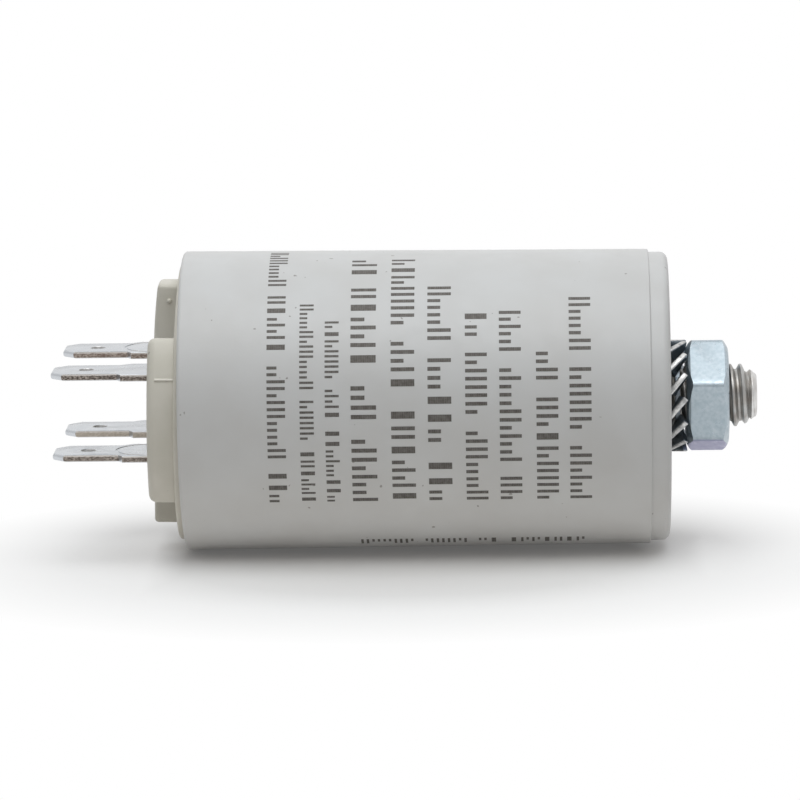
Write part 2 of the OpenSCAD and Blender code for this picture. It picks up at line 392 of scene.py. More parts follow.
class NodeBoard:
    """A node tree, with short calls for the nodes that the finishes and the surroundings share."""

    def __init__(self, tree: NodeTree) -> None:
        """Starts on a node tree.

        Args:
            tree: the node tree to add to.
        """
        self.nodes = tree.nodes
        self.links = tree.links
        self.coordinates = self.nodes.new("ShaderNodeTexCoord")
        self.place = self.coordinates.outputs["Object"]

    def put(self, socket: NodeSocket, value: NodeSocket | float | tuple[float, ...]) -> None:
        """Links an input to a source, or sets it to a number or a vector.

        Args:
            socket: the node's input.
            value: the source, number or vector.
        """
        if isinstance(value, NodeSocket):
            self.links.new(value, socket)
        else:
            socket.default_value = value

    def grain(self, size: float, detail: float = 2.0, stretch: Triple = (1, 1, 1)) -> NodeSocket:
        """Noise with grains of a given size.

        Args:
            size: size of the largest grains.
            detail: how many finer layers it has.
            stretch: how many times longer the grains are along each axis.

        Returns:
            The noise, about 0.5 on average.
        """
        mapping = self.nodes.new("ShaderNodeMapping")
        mapping.inputs["Scale"].default_value = [1 / s for s in stretch]
        self.links.new(self.place, mapping.inputs["Vector"])
        noise = self.nodes.new("ShaderNodeTexNoise")
        noise.inputs["Scale"].default_value = 1 / size
        noise.inputs["Detail"].default_value = detail
        self.links.new(mapping.outputs["Vector"], noise.inputs["Vector"])
        return noise.outputs["Fac"]

    def span(
        self, value: NodeSocket, low: float, high: float, at_low: float = 0.0, at_high: float = 1.0
    ) -> NodeSocket:
        """Maps a stretch of values to another, clamped.

        Args:
            value: the values to map.
            low: where the stretch starts.
            high: where it ends.
            at_low: the result at its start and below.
            at_high: the result at its end and above.

        Returns:
            The mapped values.
        """
        node = self.nodes.new("ShaderNodeMapRange")
        names = ("Value", "From Min", "From Max", "To Min", "To Max")
        for name, number in zip(names, (value, low, high, at_low, at_high)):
            self.put(node.inputs[name], number)
        return node.outputs["Result"]

    def blend(
        self, share: NodeSocket, first: Colour | NodeSocket, second: Colour | NodeSocket
    ) -> NodeSocket:
        """Mixes two colours.

        Args:
            share: how much of the second colour shows.
            first: a colour, or a source of colours.
            second: a colour, or a source of colours.

        Returns:
            The mixed colour.
        """
        node = self.nodes.new("ShaderNodeMix")
        node.data_type = "RGBA"
        self.links.new(share, node.inputs[0])
        # The Mix node takes colours at its inputs 6 and 7, and plain numbers at 2 and 3
        for socket, colour in ((node.inputs[6], first), (node.inputs[7], second)):
            self.put(socket, (*colour, 1) if isinstance(colour, tuple) else colour)
        return node.outputs[2]

    def pick(self, choice: NodeSocket, usual: NodeSocket, chosen: NodeSocket | float) -> NodeSocket:
        """Picks one of two values.

        Args:
            choice: one for the chosen value, zero for the usual one.
            usual: the usual value.
            chosen: the chosen value, a number or a source.

        Returns:
            The picked value.
        """
        node = self.nodes.new("ShaderNodeMix")
        self.links.new(choice, node.inputs[0])
        self.links.new(usual, node.inputs[2])
        self.put(node.inputs[3], chosen)
        return node.outputs[0]

    def sum(self, operation: str, first: NodeSocket, second: NodeSocket | float = 0.0) -> NodeSocket:
        """One step of arithmetic.

        Args:
            operation: the Math node's operation.
            first: the first value.
            second: the second value, a number or a source.

        Returns:
            The result.
        """
        node = self.nodes.new("ShaderNodeMath")
        node.operation = operation
        self.links.new(first, node.inputs[0])
        self.put(node.inputs[1], second)
        return node.outputs[0]

    def part(self, vector: NodeSocket, letter: str) -> NodeSocket:
        """One coordinate of a vector.

        Args:
            vector: the source of vectors.
            letter: the axis.

        Returns:
            The coordinate along that axis.
        """
        node = self.nodes.new("ShaderNodeSeparateXYZ")
        self.links.new(vector, node.inputs[0])
        return node.outputs[letter]

    def axis(self, letter: str) -> NodeSocket:
        """The place along one axis."""
        return self.part(self.place, letter)

    def facing(self, letter: str) -> NodeSocket:
        """How far the surface faces along one axis."""
        return self.part(self.coordinates.outputs["Normal"], letter)

    def along(self, way: NodeSocket, aim: Triple) -> NodeSocket:
        """Tells how far a direction points along another.

        Args:
            way: the source of directions.
            aim: the direction to compare with.

        Returns:
            From -1, against it, to 1, along it.
        """
        node = self.nodes.new("ShaderNodeVectorMath")
        node.operation = "DOT_PRODUCT"
        node.inputs[1].default_value = aim
        self.links.new(way, node.inputs[0])
        return node.outputs["Value"]

    def rays(self, *kinds: str) -> NodeSocket:
        """Tells some kinds of rays from the others.

        Args:
            kinds: names of the Light Path node's outputs.

        Returns:
            One for rays of these kinds, zero for the others.
        """
        paths = self.nodes.new("ShaderNodeLightPath")
        found, *others = (paths.outputs[kind] for kind in kinds)
        for other in others:
            found = self.sum("MAXIMUM", found, other)
        return found


class MaterialBoard(NodeBoard):
    """A new material's node tree, with one Principled shader."""

    def __init__(self, name: str) -> None:
        """Starts the material.

        Args:
            name: the material's name.
        """
        self.material = bpy.data.materials.new(name)
        self.material.use_nodes = True
        super().__init__(self.material.node_tree)
        self.shader = self.nodes["Principled BSDF"]

    def feed(self, socket: str, source: NodeSocket) -> None:
        """Links a source to one of the shader's sockets."""
        self.links.new(source, self.shader.inputs[socket])

    def relief(self, *layers: tuple[NodeSocket, float]) -> None:
        """Stacks bumps on the shader's normal.

        Args:
            layers: a height and its depth for each bump, the coarsest first.
        """
        normal = None
        for height, depth in layers:
            node = self.nodes.new("ShaderNodeBump")
            node.inputs["Distance"].default_value = depth
            self.links.new(height, node.inputs["Height"])
            if normal is not None:
                self.links.new(normal, node.inputs["Normal"])
            normal = node.outputs["Normal"]
        self.feed("Normal", normal)


@dataclass(frozen=True)
class MouldedPlastic:
    """Semi-matt moulded plastic: faint clouding, a fine grain and a few dark specks."""

    name: str
    colour: Colour
    cloud: Colour
    cloud_size: float = 8 * MM
    speck: Colour = (0.2, 0.18, 0.16)
    speck_size: float = 0.9 * MM
    speck_level: float = 0.782
    speck_fade: float = 0.02
    speck_strength: float = 0.7
    sheen_size: float = 1.5 * MM
    roughness: Span = (0.38, 0.5)
    dimple_size: float = 1.8 * MM
    dimple_depth: float = 0.012 * MM
    grain_size: float = 0.22 * MM
    grain_depth: float = 0.006 * MM

    def material(self) -> Material:
        """Builds the material.

        Returns:
            The material.
        """
        board = MaterialBoard(self.name)
        clouds = board.span(board.grain(self.cloud_size, 3), *CLOUDY_NOISE)
        clouded = board.blend(clouds, self.colour, self.cloud)
        full = self.speck_level + self.speck_fade
        specks = board.span(board.grain(self.speck_size, 1), self.speck_level, full, 0, self.speck_strength)
        board.feed("Base Color", board.blend(specks, clouded, self.speck))
        board.feed("Roughness", board.span(board.grain(self.sheen_size, 3), *USUAL_NOISE, *self.roughness))
        board.relief(
            (board.grain(self.dimple_size), self.dimple_depth),
            (board.grain(self.grain_size), self.grain_depth),
        )
        return board.material


@dataclass(frozen=True)
class PlatedMetal:
    """Plated or bare metal: patches of a second tone, and fine streaks along the rolling direction."""

    name: str
    colour: Colour
    patch: Colour
    roughness: Span
    patch_size: float = 1.2 * MM
    patch_span: Span = (0.38, 0.66)
    streak: Triple = (12, 1, 1)
    streak_size: float = 0.06 * MM
    depth: float = 0.004 * MM
    detail: float = 4.0
    metallic: float = 1.0

    def material(self) -> Material:
        """Builds the material.

        Returns:
            The material.
        """
        board = MaterialBoard(self.name)
        board.shader.inputs["Metallic"].default_value = self.metallic
        patches = board.grain(self.patch_size, self.detail)
        board.feed("Base Color", board.blend(board.span(patches, *self.patch_span), self.colour, self.patch))
        board.feed("Roughness", board.span(patches, *USUAL_NOISE, *self.roughness))
        board.relief(
            (board.grain(self.patch_size), 2 * self.depth),
            (board.grain(self.streak_size, stretch=self.streak), self.depth),
        )
        return board.material


@dataclass(frozen=True)
class ShearedEdge:
    """The cut edge of a stamped strip: a burnished line above, torn metal below it, and a fine burr."""

    name: str
    middle_z: float
    front: Colour
    back: Colour
    burnished: Colour = (0.82, 0.77, 0.73)
    bare: Colour = (0.74, 0.65, 0.58)
    metallic: float = 0.15
    roughness: Span = (0.55, 0.34)
    thickness: float = 0.8 * MM
    burnished_share: float = 0.3
    burnished_fade: float = 0.06
    burr_share: float = 0.16
    burr_fade: float = 0.05
    burr_strength: float = 0.7
    change_reach: float = MM
    wander: float = 0.06
    wander_size: float = 0.22 * MM
    wander_stretch: Triple = (2, 1, 1)
    tear_size: float = 0.14 * MM
    tear_span: Span = (0.42, 0.66)
    tear_strength: float = 0.75
    tear_stretch: Triple = (1.6, 1, 1)
    relief_size: float = 0.15 * MM
    relief_depth: float = 0.015 * MM

    def material(self) -> Material:
        """Builds the material.

        Returns:
            The material.
        """
        board = MaterialBoard(self.name)
        board.shader.inputs["Metallic"].default_value = self.metallic
        half = self.thickness / 2
        share = board.span(board.axis("Z"), self.middle_z - half, self.middle_z + half)
        noise = board.grain(self.wander_size, 3, self.wander_stretch)
        line = board.sum("ADD", share, board.span(noise, *USUAL_NOISE, -self.wander, self.wander))
        top_from = 1 - self.burnished_share
        top = board.span(line, top_from, top_from + self.burnished_fade)
        burr = board.span(line, self.burr_share, self.burr_share - self.burr_fade)
        tears = board.span(board.grain(self.tear_size, 3, self.tear_stretch), *self.tear_span)
        behind = board.span(board.axis("Y"), -self.change_reach, self.change_reach)
        plain = board.blend(behind, self.front, self.back)
        torn = board.blend(board.sum("MULTIPLY", tears, self.tear_strength), plain, self.bare)
        bright = board.sum("MAXIMUM", top, board.sum("MULTIPLY", burr, self.burr_strength))
        board.feed("Base Color", board.blend(bright, torn, self.burnished))
        board.feed("Roughness", board.span(bright, 0, 1, *self.roughness))
        board.relief((board.grain(self.relief_size, 3, self.tear_stretch), self.relief_depth))
        return board.material


@dataclass(frozen=True)
class ZincPlate:
    """Blue-white zinc plate: a fine mottle, with a violet painted reflection on the faces that point down.
    """

    name: str = "blue_white_zinc"
    colour: Colour = (0.4, 0.48, 0.53)
    mottle: Colour = (0.5, 0.57, 0.62)
    mottle_size: float = 0.45 * MM
    mottle_span: Span = (0.35, 0.68)
    painted_underside_reflection: Colour = (0.3, 0.3, 0.48)
    painted_underside_reflection_facing: Span = (-0.6, -0.85)
    metallic: float = 0.78
    sheen_size: float = 0.7 * MM
    roughness: Span = (0.26, 0.4)
    ripple_size: float = 1.1 * MM
    ripple_depth: float = 0.012 * MM
    grain_size: float = 0.16 * MM
    grain_depth: float = 0.003 * MM

    def material(self) -> Material:
        """Builds the material.

        Returns:
            The material.
        """
        board = MaterialBoard(self.name)
        board.shader.inputs["Metallic"].default_value = self.metallic
        share = board.span(board.grain(self.mottle_size, 3), *self.mottle_span)
        mottled = board.blend(share, self.colour, self.mottle)
        # Faces that point down are tinted violet: a painted reflection of the shaded floor beneath the nut
        painted_underside_reflection = board.span(board.facing("Z"), *self.painted_underside_reflection_facing)
        board.feed("Base Color", board.blend(painted_underside_reflection, mottled, self.painted_underside_reflection))
        board.feed("Roughness", board.span(board.grain(self.sheen_size, 3), *USUAL_NOISE, *self.roughness))
        board.relief(
            (board.grain(self.ripple_size), self.ripple_depth),
            (board.grain(self.grain_size), self.grain_depth),
        )
        return board.material


@dataclass(frozen=True)
class LaserMark:
    """Plastic browned by a laser, in fine lines that run round the can."""

    name: str = "laser_mark"
    mark: Colour = (0.075, 0.066, 0.058)
    ground: Colour = (0.32, 0.31, 0.29)
    line_pitch: float = 0.26 * MM
    line_share: float = 0.12
    line_depth: float = 0.006 * MM
    patch_size: float = 0.4 * MM
    patch_span: Span = (0.35, 0.75)
    patch_share: float = 0.3
    roughness: Span = (0.5, 0.65)

    def material(self) -> Material:
        """Builds the material.

        Returns:
            The material.
        """
        board = MaterialBoard(self.name)
        turns = board.sum("MULTIPLY", board.axis("X"), math.tau / self.line_pitch)
        lines = board.span(board.sum("SINE", turns), -1, 1)
        patchy = board.span(board.grain(self.patch_size, 3), *self.patch_span)
        paler_lines = board.sum("MULTIPLY", lines, self.line_share)
        paler_patches = board.sum("MULTIPLY", patchy, self.patch_share)
        share = board.sum("ADD", paler_lines, paler_patches)
        board.feed("Base Color", board.blend(share, self.mark, self.ground))
        board.feed("Roughness", board.span(patchy, 0, 1, *self.roughness))
        board.relief((lines, self.line_depth))
        return board.material


@dataclass(frozen=True)
class HiddenStock:
    """Plain stock of the pieces inside the can."""

    name: str
    colour: Colour
    second: Colour
    roughness: float
    metallic: float = 0.0
    grain: float = 0.8 * MM
    stretch: Triple = (1, 1, 1)
    roughness_spread: float = 0.06
    depth: float = 0.02 * MM

    def material(self) -> Material:
        """Builds the material.

        Returns:
            The material.
        """
        board = MaterialBoard(self.name)
        board.shader.inputs["Metallic"].default_value = self.metallic
        grains = board.grain(self.grain, 3, self.stretch)
        board.feed("Base Color", board.blend(board.span(grains, *CLOUDY_NOISE), self.colour, self.second))
        smoothest = self.roughness - self.roughness_spread
        roughest = self.roughness + self.roughness_spread
        board.feed("Roughness", board.span(grains, *USUAL_NOISE, smoothest, roughest))
        board.relief((grains, self.depth))
        return board.material


@dataclass
class Can:
    """The moulded can: a tapered cup with a stepped base, round a cavity for the stud's head."""

    taper: float = 0.3 * MM
    band_length: float = 2.25 * MM
    band_step: float = 0.35 * MM
    base_round: float = 0.9 * MM
    step_round: float = 0.16 * MM
    mouth_round: float = 0.45 * MM
    lip_round: float = 0.18 * MM
    seat_wall: float = 1.2 * MM
    wall: float = 1.8 * MM
    base_thickness: float = 3 * MM
    recess_depth: float = 0.3 * MM
    recess_margin: float = 1.4 * MM
    boss_wall: float = 1.4 * MM
    head_cover: float = 2.2 * MM
    neck_r: float = 3.62 * MM
    head_clear: float = 0.02 * MM
    corner_steps: int = 6
    round_steps: int = 256
    crisp_angle: float = math.radians(35)

    def __post_init__(self) -> None:
        """Takes the outer sizes from the frame."""
        low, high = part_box("can")
        self.mouth_x: float = low.x
        self.base_x: float = high.x
        self.mouth_r: float = high.z
        self.shoulder_r: float = self.mouth_r - self.taper
        self.step_x: float = self.base_x - self.band_length
        self.lid_under_x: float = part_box("lid")[1].x

    def radius_at(self, x: float) -> float:
        """Radius of the tapered wall.

        Args:
            x: place along the axis.

        Returns:
            The wall's outer radius there.
        """
        share = (self.step_x - x) / (self.step_x - self.mouth_x)
        return self.shoulder_r + self.taper * share

    def profile(self) -> list[Corner]:
        """Works out half a section, from the axis behind the stud's head round to the boss inside.

        Returns:
            Place along the axis, radius and rounding of each corner.
        """
        stud_low, stud_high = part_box("mounting_stud")
        head_r = stud_high.z + self.head_clear
        head_front = self.base_x - self.recess_depth - self.head_cover + self.head_clear
        head_back = stud_low.x - self.head_clear
        recess_x = self.base_x - self.recess_depth
        recess_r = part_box("lock_washer")[1].z + self.recess_margin
        band_r = self.shoulder_r - self.band_step
        floor_x = self.base_x - self.base_thickness
        boss_r = head_r + self.boss_wall
        boss_x = stud_low.x - self.boss_wall
        seat_r = self.mouth_r - self.seat_wall
        bore_r = self.mouth_r - self.wall
        return [
            (head_back, 0, 0), (head_back, head_r, 0), (head_front, head_r, 0), (head_front, self.neck_r, 0),
            (recess_x, self.neck_r, self.step_round), (recess_x, recess_r, self.step_round),
            (self.base_x, recess_r, self.step_round), (self.base_x, band_r, self.base_round),
            (self.step_x, band_r, self.step_round / 2), (self.step_x, self.shoulder_r, self.step_round),
            (self.mouth_x, self.mouth_r, self.mouth_round), (self.mouth_x, seat_r, self.lip_round),
            (self.lid_under_x, seat_r, 0), (self.lid_under_x, bore_r, 0), (floor_x, bore_r, self.step_round),
            (floor_x, boss_r, 0), (boss_x, boss_r, 0), (boss_x, 0, 0),
        ]

    def build(self) -> Object:
        """Turns the can and dresses it.

        Returns:
            The can's piece.
        """
        piece = Bench.turned("can_body", self.profile(), self.round_steps, arc_steps=self.corner_steps)
        Bench.smooth(piece, self.crisp_angle)
        plastic = MouldedPlastic("off_white_plastic", (0.62, 0.62, 0.615), (0.59, 0.585, 0.575))
        Bench.finish(piece, "can_plastic", ["can"], [plastic.material()])
        return piece


@dataclass
class TerminalStrip:
    """A stamped strip: two blades with coined tips and detent holes, on a bar inside the can."""

    level: Level
    blade_width: float = 6.3 * MM
    blade_length: float = 7.7 * MM
    shoulder_width: float = 8.1 * MM
    slope_near: float = 0.5 * MM
    slope_far: float = 1.2 * MM
    tip_chamfer: float = 1.3 * MM
    tip_coin: float = 0.26 * MM
    edge_round: float = 0.05 * MM
    edge_segments: int = 2
    rim_angle: float = math.radians(60)
    hole_d: float = 1.7 * MM
    hole_from_tip: float = 4 * MM
    hole_flare: float = 0.12 * MM
    bar_width: float = 3 * MM
    press_r: float = 3.75 * MM
    press_width: float = 0.3 * MM
    press_depth: float = 0.06 * MM
    press_from_tip: float = 10.9 * MM
    tool_room: float = MM
    tool_length: float = 3 * MM
    tool_sides: int = 64
    crisp_angle: float = math.radians(25)
    hole_upright: float = 0.9
    edge_sideways: float = 0.65
    edge_upright: float = 0.3

    def __post_init__(self) -> None:
        """Takes the outer sizes from the frame."""
        low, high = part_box(self.node)
        self.tip_x: float = low.x
        self.bar_x: float = high.x
        self.under_z: float = low.z
        self.top_z: float = high.z
        self.shoulder_y: float = high.y
        self.blade_y: float = high.y - self.shoulder_width / 2

    @property
    def node(self) -> str:
        """Name of the solid that this strip stands for."""
        return "terminal_upper" if self.level is Level.UPPER else "terminal_lower"

    def half_outline(self, side: Side) -> list[Vector]:
        """Outline of one blade and half of the bar, from the middle of the strip outwards.

        Args:
            side: which blade.

        Returns:
            Points at the strip's underside.
        """
        inner = self.blade_y - self.blade_width / 2
        outer = self.blade_y + self.blade_width / 2
        foot_x = self.tip_x + self.blade_length
        slopes = (self.slope_far, self.slope_near)
        inner_slope, outer_slope = slopes if side is Side.FRONT else slopes[::-1]
        cut = self.tip_chamfer
        corners = [
            (self.bar_x - self.bar_width, self.blade_y - self.shoulder_width / 2),
            (foot_x + inner_slope, self.blade_y - self.shoulder_width / 2),
            (foot_x, inner), (self.tip_x + cut, inner), (self.tip_x, inner + cut),
            (self.tip_x, outer - cut), (self.tip_x + cut, outer), (foot_x, outer),
            (foot_x + outer_slope, self.shoulder_y), (self.bar_x, self.shoulder_y),
        ]
        return [Vector((x, side.value * y, self.under_z)) for x, y in corners]

    def from_hole(self, point: Vector) -> float:
        """Distance of a point from the axis of the nearer detent hole, in plan."""
        return math.hypot(point.x - self.tip_x - self.hole_from_tip, abs(point.y) - self.blade_y)

    @staticmethod
    def level_edge(edge: BMEdge) -> bool:
        """Says whether an edge lies level."""
        return abs(edge.verts[0].co.z - edge.verts[1].co.z) < WELD

    def at_tip(self, edge: BMEdge) -> bool:
        """Says whether an edge lies level at a blade's tip, where it is coined."""
        end_x = self.tip_x + self.tip_chamfer + WELD
        return self.level_edge(edge) and all(v.co.x < end_x for v in edge.verts)

    def along_rim(self, edge: BMEdge) -> bool:
        """Says whether an edge bounds the strip's upper or lower face."""
        return self.level_edge(edge) and edge.calc_face_angle(0) > self.rim_angle

    def round_hole(self, edge: BMEdge) -> bool:
        """Says whether an edge is on the upper rim of a detent hole."""
        reach = self.hole_d / 2 + WELD
        return all(v.co.z > self.top_z - WELD and self.from_hole(v.co) < reach for v in edge.verts)

    def drum(self, name: str, radius: float, place: Vector, depth: float) -> Object:
        """An upright round tool.

        Args:
            name: name of the tool.
            radius: its radius.
            place: the middle of its lower end.
            depth: its height.

        Returns:
            The tool.
        """
        return Bench.solid(
            name,
            bpy.ops.mesh.primitive_cylinder_add,
            vertices=self.tool_sides,
            radius=radius,
            depth=depth,
            location=place + Vector((0, 0, depth / 2)),
        )

    def press(self) -> Object:
        """Makes the tool that presses a shallow ring into one of the blades' feet.

        Returns:
            The tool.
        """
        side = Side.BACK if self.level is Level.UPPER else Side.FRONT
        x = self.tip_x + self.press_from_tip
        place = Vector((x, side.value * self.blade_y, self.top_z - self.press_depth))
        press = self.drum("press", self.press_r, place, self.tool_room)
        below = place - Vector((0, 0, self.tool_room))
        core = self.drum("core", self.press_r - self.press_width, below, self.tool_length)
        Bench.combine(press, core, Boolean.CUT)
        return press

    def edge_finish(self) -> ShearedEdge:
        """Picks the finish of the strip's cut edges, darker on the upper strip.

        Returns:
            The finish.
        """
        middle_z = (self.under_z + self.top_z) / 2
        if self.level is Level.UPPER:
            return ShearedEdge("sheared_edge_upper", middle_z, (0.07, 0.05, 0.04), (0.25, 0.18, 0.15))
        return ShearedEdge("sheared_edge_lower", middle_z, (0.15, 0.12, 0.1), (0.52, 0.46, 0.39))

    def kind(self, face: MeshPolygon) -> StripFace:
        """Tells plated faces from cut ones.

        Args:
            face: a face of the finished strip.

        Returns:
            The face's kind.
        """
        upright = abs(face.normal.z)
        if self.from_hole(face.center) < self.hole_d and upright < self.hole_upright:
            return StripFace.PUNCHED
        past_tip = face.center.x > self.tip_x + self.tip_chamfer
        if past_tip and abs(face.normal.y) > self.edge_sideways and upright < self.edge_upright:
            return StripFace.SHEARED
        return StripFace.PLATED

    def build(self) -> Object:
        """Stamps the strip and dresses it.

        Returns:
            The strip's piece.
        """
        outline = self.half_outline(Side.BACK) + self.half_outline(Side.FRONT)[::-1]
        name = "upper_strip" if self.level is Level.UPPER else "lower_strip"
        piece = Bench.prism(name, outline, Vector((0, 0, self.top_z - self.under_z)))
        Bench.bevel(piece, self.tip_coin, self.at_tip, self.edge_segments)
        Bench.bevel(piece, self.edge_round, self.along_rim, self.edge_segments)
        hole_x = self.tip_x + self.hole_from_tip
        for side in Side:
            place = Vector((hole_x, side.value * self.blade_y, self.under_z - self.tool_room))
            punch = self.drum("punch", self.hole_d / 2, place, self.tool_length)
            Bench.combine(piece, punch, Boolean.CUT)
        Bench.bevel(piece, self.hole_flare, self.round_hole)
        Bench.combine(piece, self.press(), Boolean.CUT)
        Bench.smooth(piece, self.crisp_angle)
        tin = PlatedMetal(
            "tin_plate", (0.62, 0.645, 0.675), (0.6, 0.622, 0.652), (0.26, 0.31), depth=0.0001 * MM, detail=1
        )
        punched = PlatedMetal(
            "punched_hole", (0.72, 0.72, 0.72), (0.56, 0.55, 0.54), (0.3, 0.45), patch_size=0.3 * MM
        )
        finishes = [tin.material(), self.edge_finish().material(), punched.material()]
        Bench.finish(piece, "tinned_brass", [self.node], finishes)
        for face in piece.data.polygons:
            face.material_index = self.kind(face).value
        return piece


@dataclass
class Lid:
    """The ivory lid: a plate with four slots, a straight rib and two curved guards."""

    thickness: float = 3 * MM
    guard_wall: float = 2 * MM
    guard_inset: float = 0.65 * MM
    guard_length: float = 20.1 * MM
    guard_turn: float = math.radians(1.7)
    guard_round: float = 0.95 * MM
    guard_steps: int = 18
    rib_width: float = 4.8 * MM
    rib_inset: float = 1.95 * MM
    rib_round: float = 0.45 * MM
    rib_steps: int = 8
    droop_from: float = 5.5 * MM
    droop_r: float = 70 * MM
    droop_slices: int = 6
    nub_r: float = 0.3 * MM
    nub_place: tuple[float, float] = (-58.4 * MM, 12.2 * MM)
    nub_detail: int = 3
    seam_z: float = 4.85 * MM
    seam_r: float = 0.16 * MM
    seam_sides: int = 16
    seam_reach: float = 1.3
    rim_round: float = 0.3 * MM
    foot_depth: float = 0.3 * MM
    slot_clear: float = 0.1 * MM
    slot_room: float = MM
    askew: float = math.radians(0.9)
    askew_room: float = 0.25 * MM
    top_segments: int = 4
    top_angle: float = math.radians(30)
    round_steps: int = 192
    crisp_angle: float = math.radians(35)

    def __post_init__(self) -> None:
        """Takes the outer sizes from the frame."""
        low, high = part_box("lid")
        self.radius: float = high.y
        self.under_x: float = high.x
        self.face_x: float = high.x - self.thickness
        self.foot_x: float = self.face_x + self.foot_depth
        self.top_x: float = low.x
        self.guard_r: float = self.radius - self.guard_inset
        self.rib_end_r: float = self.radius - self.rib_inset
        self.seam_y: float = -math.sqrt(self.guard_r**2 - self.seam_z**2)
        self.seam_x: float = self.top_x + self.guard_round

    def plate(self) -> Object:
        """Turns the round plate, with a softened rim and thinned below so that it can sit askew.

        Returns:
            The plate.
        """
        under_x = self.under_x - self.askew_room
        corners = [
            (under_x, 0, 0), (under_x, self.radius, self.rim_round),
            (self.face_x, self.radius, self.rim_round), (self.face_x, 0, 0),
        ]
        return Bench.turned("lid_moulding", corners, self.round_steps)

    def on_top(self, edge: BMEdge) -> bool:
        """Says whether an edge belongs to the outer end of a guard or rib, or runs down from it."""
        highest = min(v.co.x for v in edge.verts)
        return highest < self.top_x + WELD and edge.calc_face_angle(0) > self.top_angle

    def upright(self, name: str, rim: Sequence[tuple[float, float]], edge_round: float) -> Object:
        """A wall that stands on the plate, its foot sunk into it and its outer end rounded.

        Args:
            name: name of the wall.
            rim: its outline as (radius, angle).
            edge_round: how far the rounding of its outer end reaches.

        Returns:
            The wall.
        """
        outline = [Vector((self.foot_x, r * math.cos(a), r * math.sin(a))) for r, a in rim]
        wall = Bench.prism(name, outline, Vector((self.top_x - self.foot_x, 0, 0)))
        Bench.bevel(wall, edge_round, self.on_top, self.top_segments)
        return wall

    def guard(self, side: Side) -> Object:
        """One curved guard.

        Args:
            side: which guard.

        Returns:
            The guard, with rounded edges.
        """
        inner = self.guard_r - self.guard_wall
        half = math.asin(self.guard_length / 2 / self.guard_r)
        middle = (0 if side is Side.BACK else math.pi) + self.guard_turn
        steps = self.guard_steps
        angles = [middle - half + 2 * half * k / steps for k in range(steps + 1)]
        rim = [(self.guard_r, a) for a in angles] + [(inner, a) for a in reversed(angles)]
        return self.upright("guard", rim, self.guard_round)

    def rib(self) -> Object:
        """Builds the straight rib: its ends follow the plate's edge, its upper end falls away along an arc.

        Returns:
            The rib.
        """
        half = math.asin(self.rib_width / 2 / self.rib_end_r)
        steps = self.rib_steps
        sweep = [-half + 2 * half * k / steps for k in range(steps + 1)]
        angles = [math.pi / 2 - a for a in sweep] + [-math.pi / 2 - a for a in sweep]
        rib = self.upright("rib", [(self.rib_end_r, a) for a in angles], self.rib_round)
        Bench.edit(rib)
        for k in range(self.droop_slices):
            z = self.droop_from + (self.rib_end_r - self.droop_from) * k / self.droop_slices
            bpy.ops.mesh.select_all(action="SELECT")
            bpy.ops.mesh.bisect(plane_co=(0, 0, z), plane_no=(0, 0, 1), threshold=WELD)
        Bench.close()
        for vertex in rib.data.vertices:
            if vertex.co.x < self.face_x:
                vertex.co.x += max(0, vertex.co.z - self.droop_from) ** 2 / 2 / self.droop_r
        return rib

    def nub(self) -> Object:
        """Adds the small moulding point on the rib's side.

        Returns:
            The point.
        """
        x, z = self.nub_place
        return Bench.solid(
            "nub",
            bpy.ops.mesh.primitive_ico_sphere_add,
            subdivisions=self.nub_detail,
            radius=self.nub_r,
            location=(x, -self.rib_width / 2, z),
        )

    def seam(self) -> Object:
        """Adds the fine raised line across the front guard, left by the mould.

        Returns:
            The line.
        """
        return Bench.solid(
            "seam",
            bpy.ops.mesh.primitive_cylinder_add,
            vertices=self.seam_sides,
            radius=self.seam_r,
            depth=self.foot_x - self.seam_x,
            location=((self.seam_x + self.foot_x) / 2, self.seam_y, self.seam_z),
            rotation=(0, math.pi / 2, 0),
        )

    def slot(self, strip: TerminalStrip, side: Side) -> Object:
        """The tool that cuts the slot for one of a strip's blades.

        Args:
            strip: the strip.
            side: which of its blades.

        Returns:
            The tool.
        """
        middle = side.value * strip.blade_y
        half = strip.shoulder_width / 2
        low = Vector((self.face_x - self.slot_room, middle - half, strip.under_z))
        high = Vector((self.under_x + self.slot_room, middle + half, strip.top_z))
        clear = Vector((0, self.slot_clear, self.slot_clear))
        low -= clear
        high += clear
        return Bench.solid(
            "slot", bpy.ops.mesh.primitive_cube_add, size=1, location=(low + high) / 2, scale=high - low
        )

    def on_seam_highlight(self, face: MeshPolygon) -> bool:
        """Says whether a face belongs to the raised line on the front guard, which carries a painted
        highlight.
        """
        away = math.hypot(face.center.y - self.seam_y, face.center.z - self.seam_z)
        return self.seam_x < face.center.x < self.face_x and away < self.seam_reach * self.seam_r

    def build(self) -> Object:
        """Joins plate, rib and guards, cuts the slots and dresses the lid.

        Returns:
            The lid's piece.
        """
        piece = self.plate()
        parts = (self.rib(), self.guard(Side.FRONT), self.guard(Side.BACK), self.nub(), self.seam())
        for part in parts:
            Bench.combine(piece, part, Boolean.JOIN)
        for level in Level:
            strip = TerminalStrip(level)
            for side in Side:
                Bench.combine(piece, self.slot(strip, side), Boolean.CUT)
        pivot = Matrix.Translation((self.face_x, 0, 0))
        piece.data.transform(pivot @ Matrix.Rotation(self.askew, 4, "Y") @ pivot.inverted())
        Bench.smooth(piece, self.crisp_angle)
        ivory = MouldedPlastic("ivory_plastic", (0.655, 0.625, 0.555), (0.605, 0.58, 0.505), 5 * MM)
        # The raised line takes a paler ivory: a painted highlight where the line catches the light
        seam_highlight = MouldedPlastic("seam_painted_highlight", (0.75, 0.72, 0.65), (0.72, 0.69, 0.62))
        Bench.finish(piece, "lid_plastic", ["lid"], [ivory.material(), seam_highlight.material()])
        for face in piece.data.polygons:
            face.material_index = int(self.on_seam_highlight(face))
        return piece


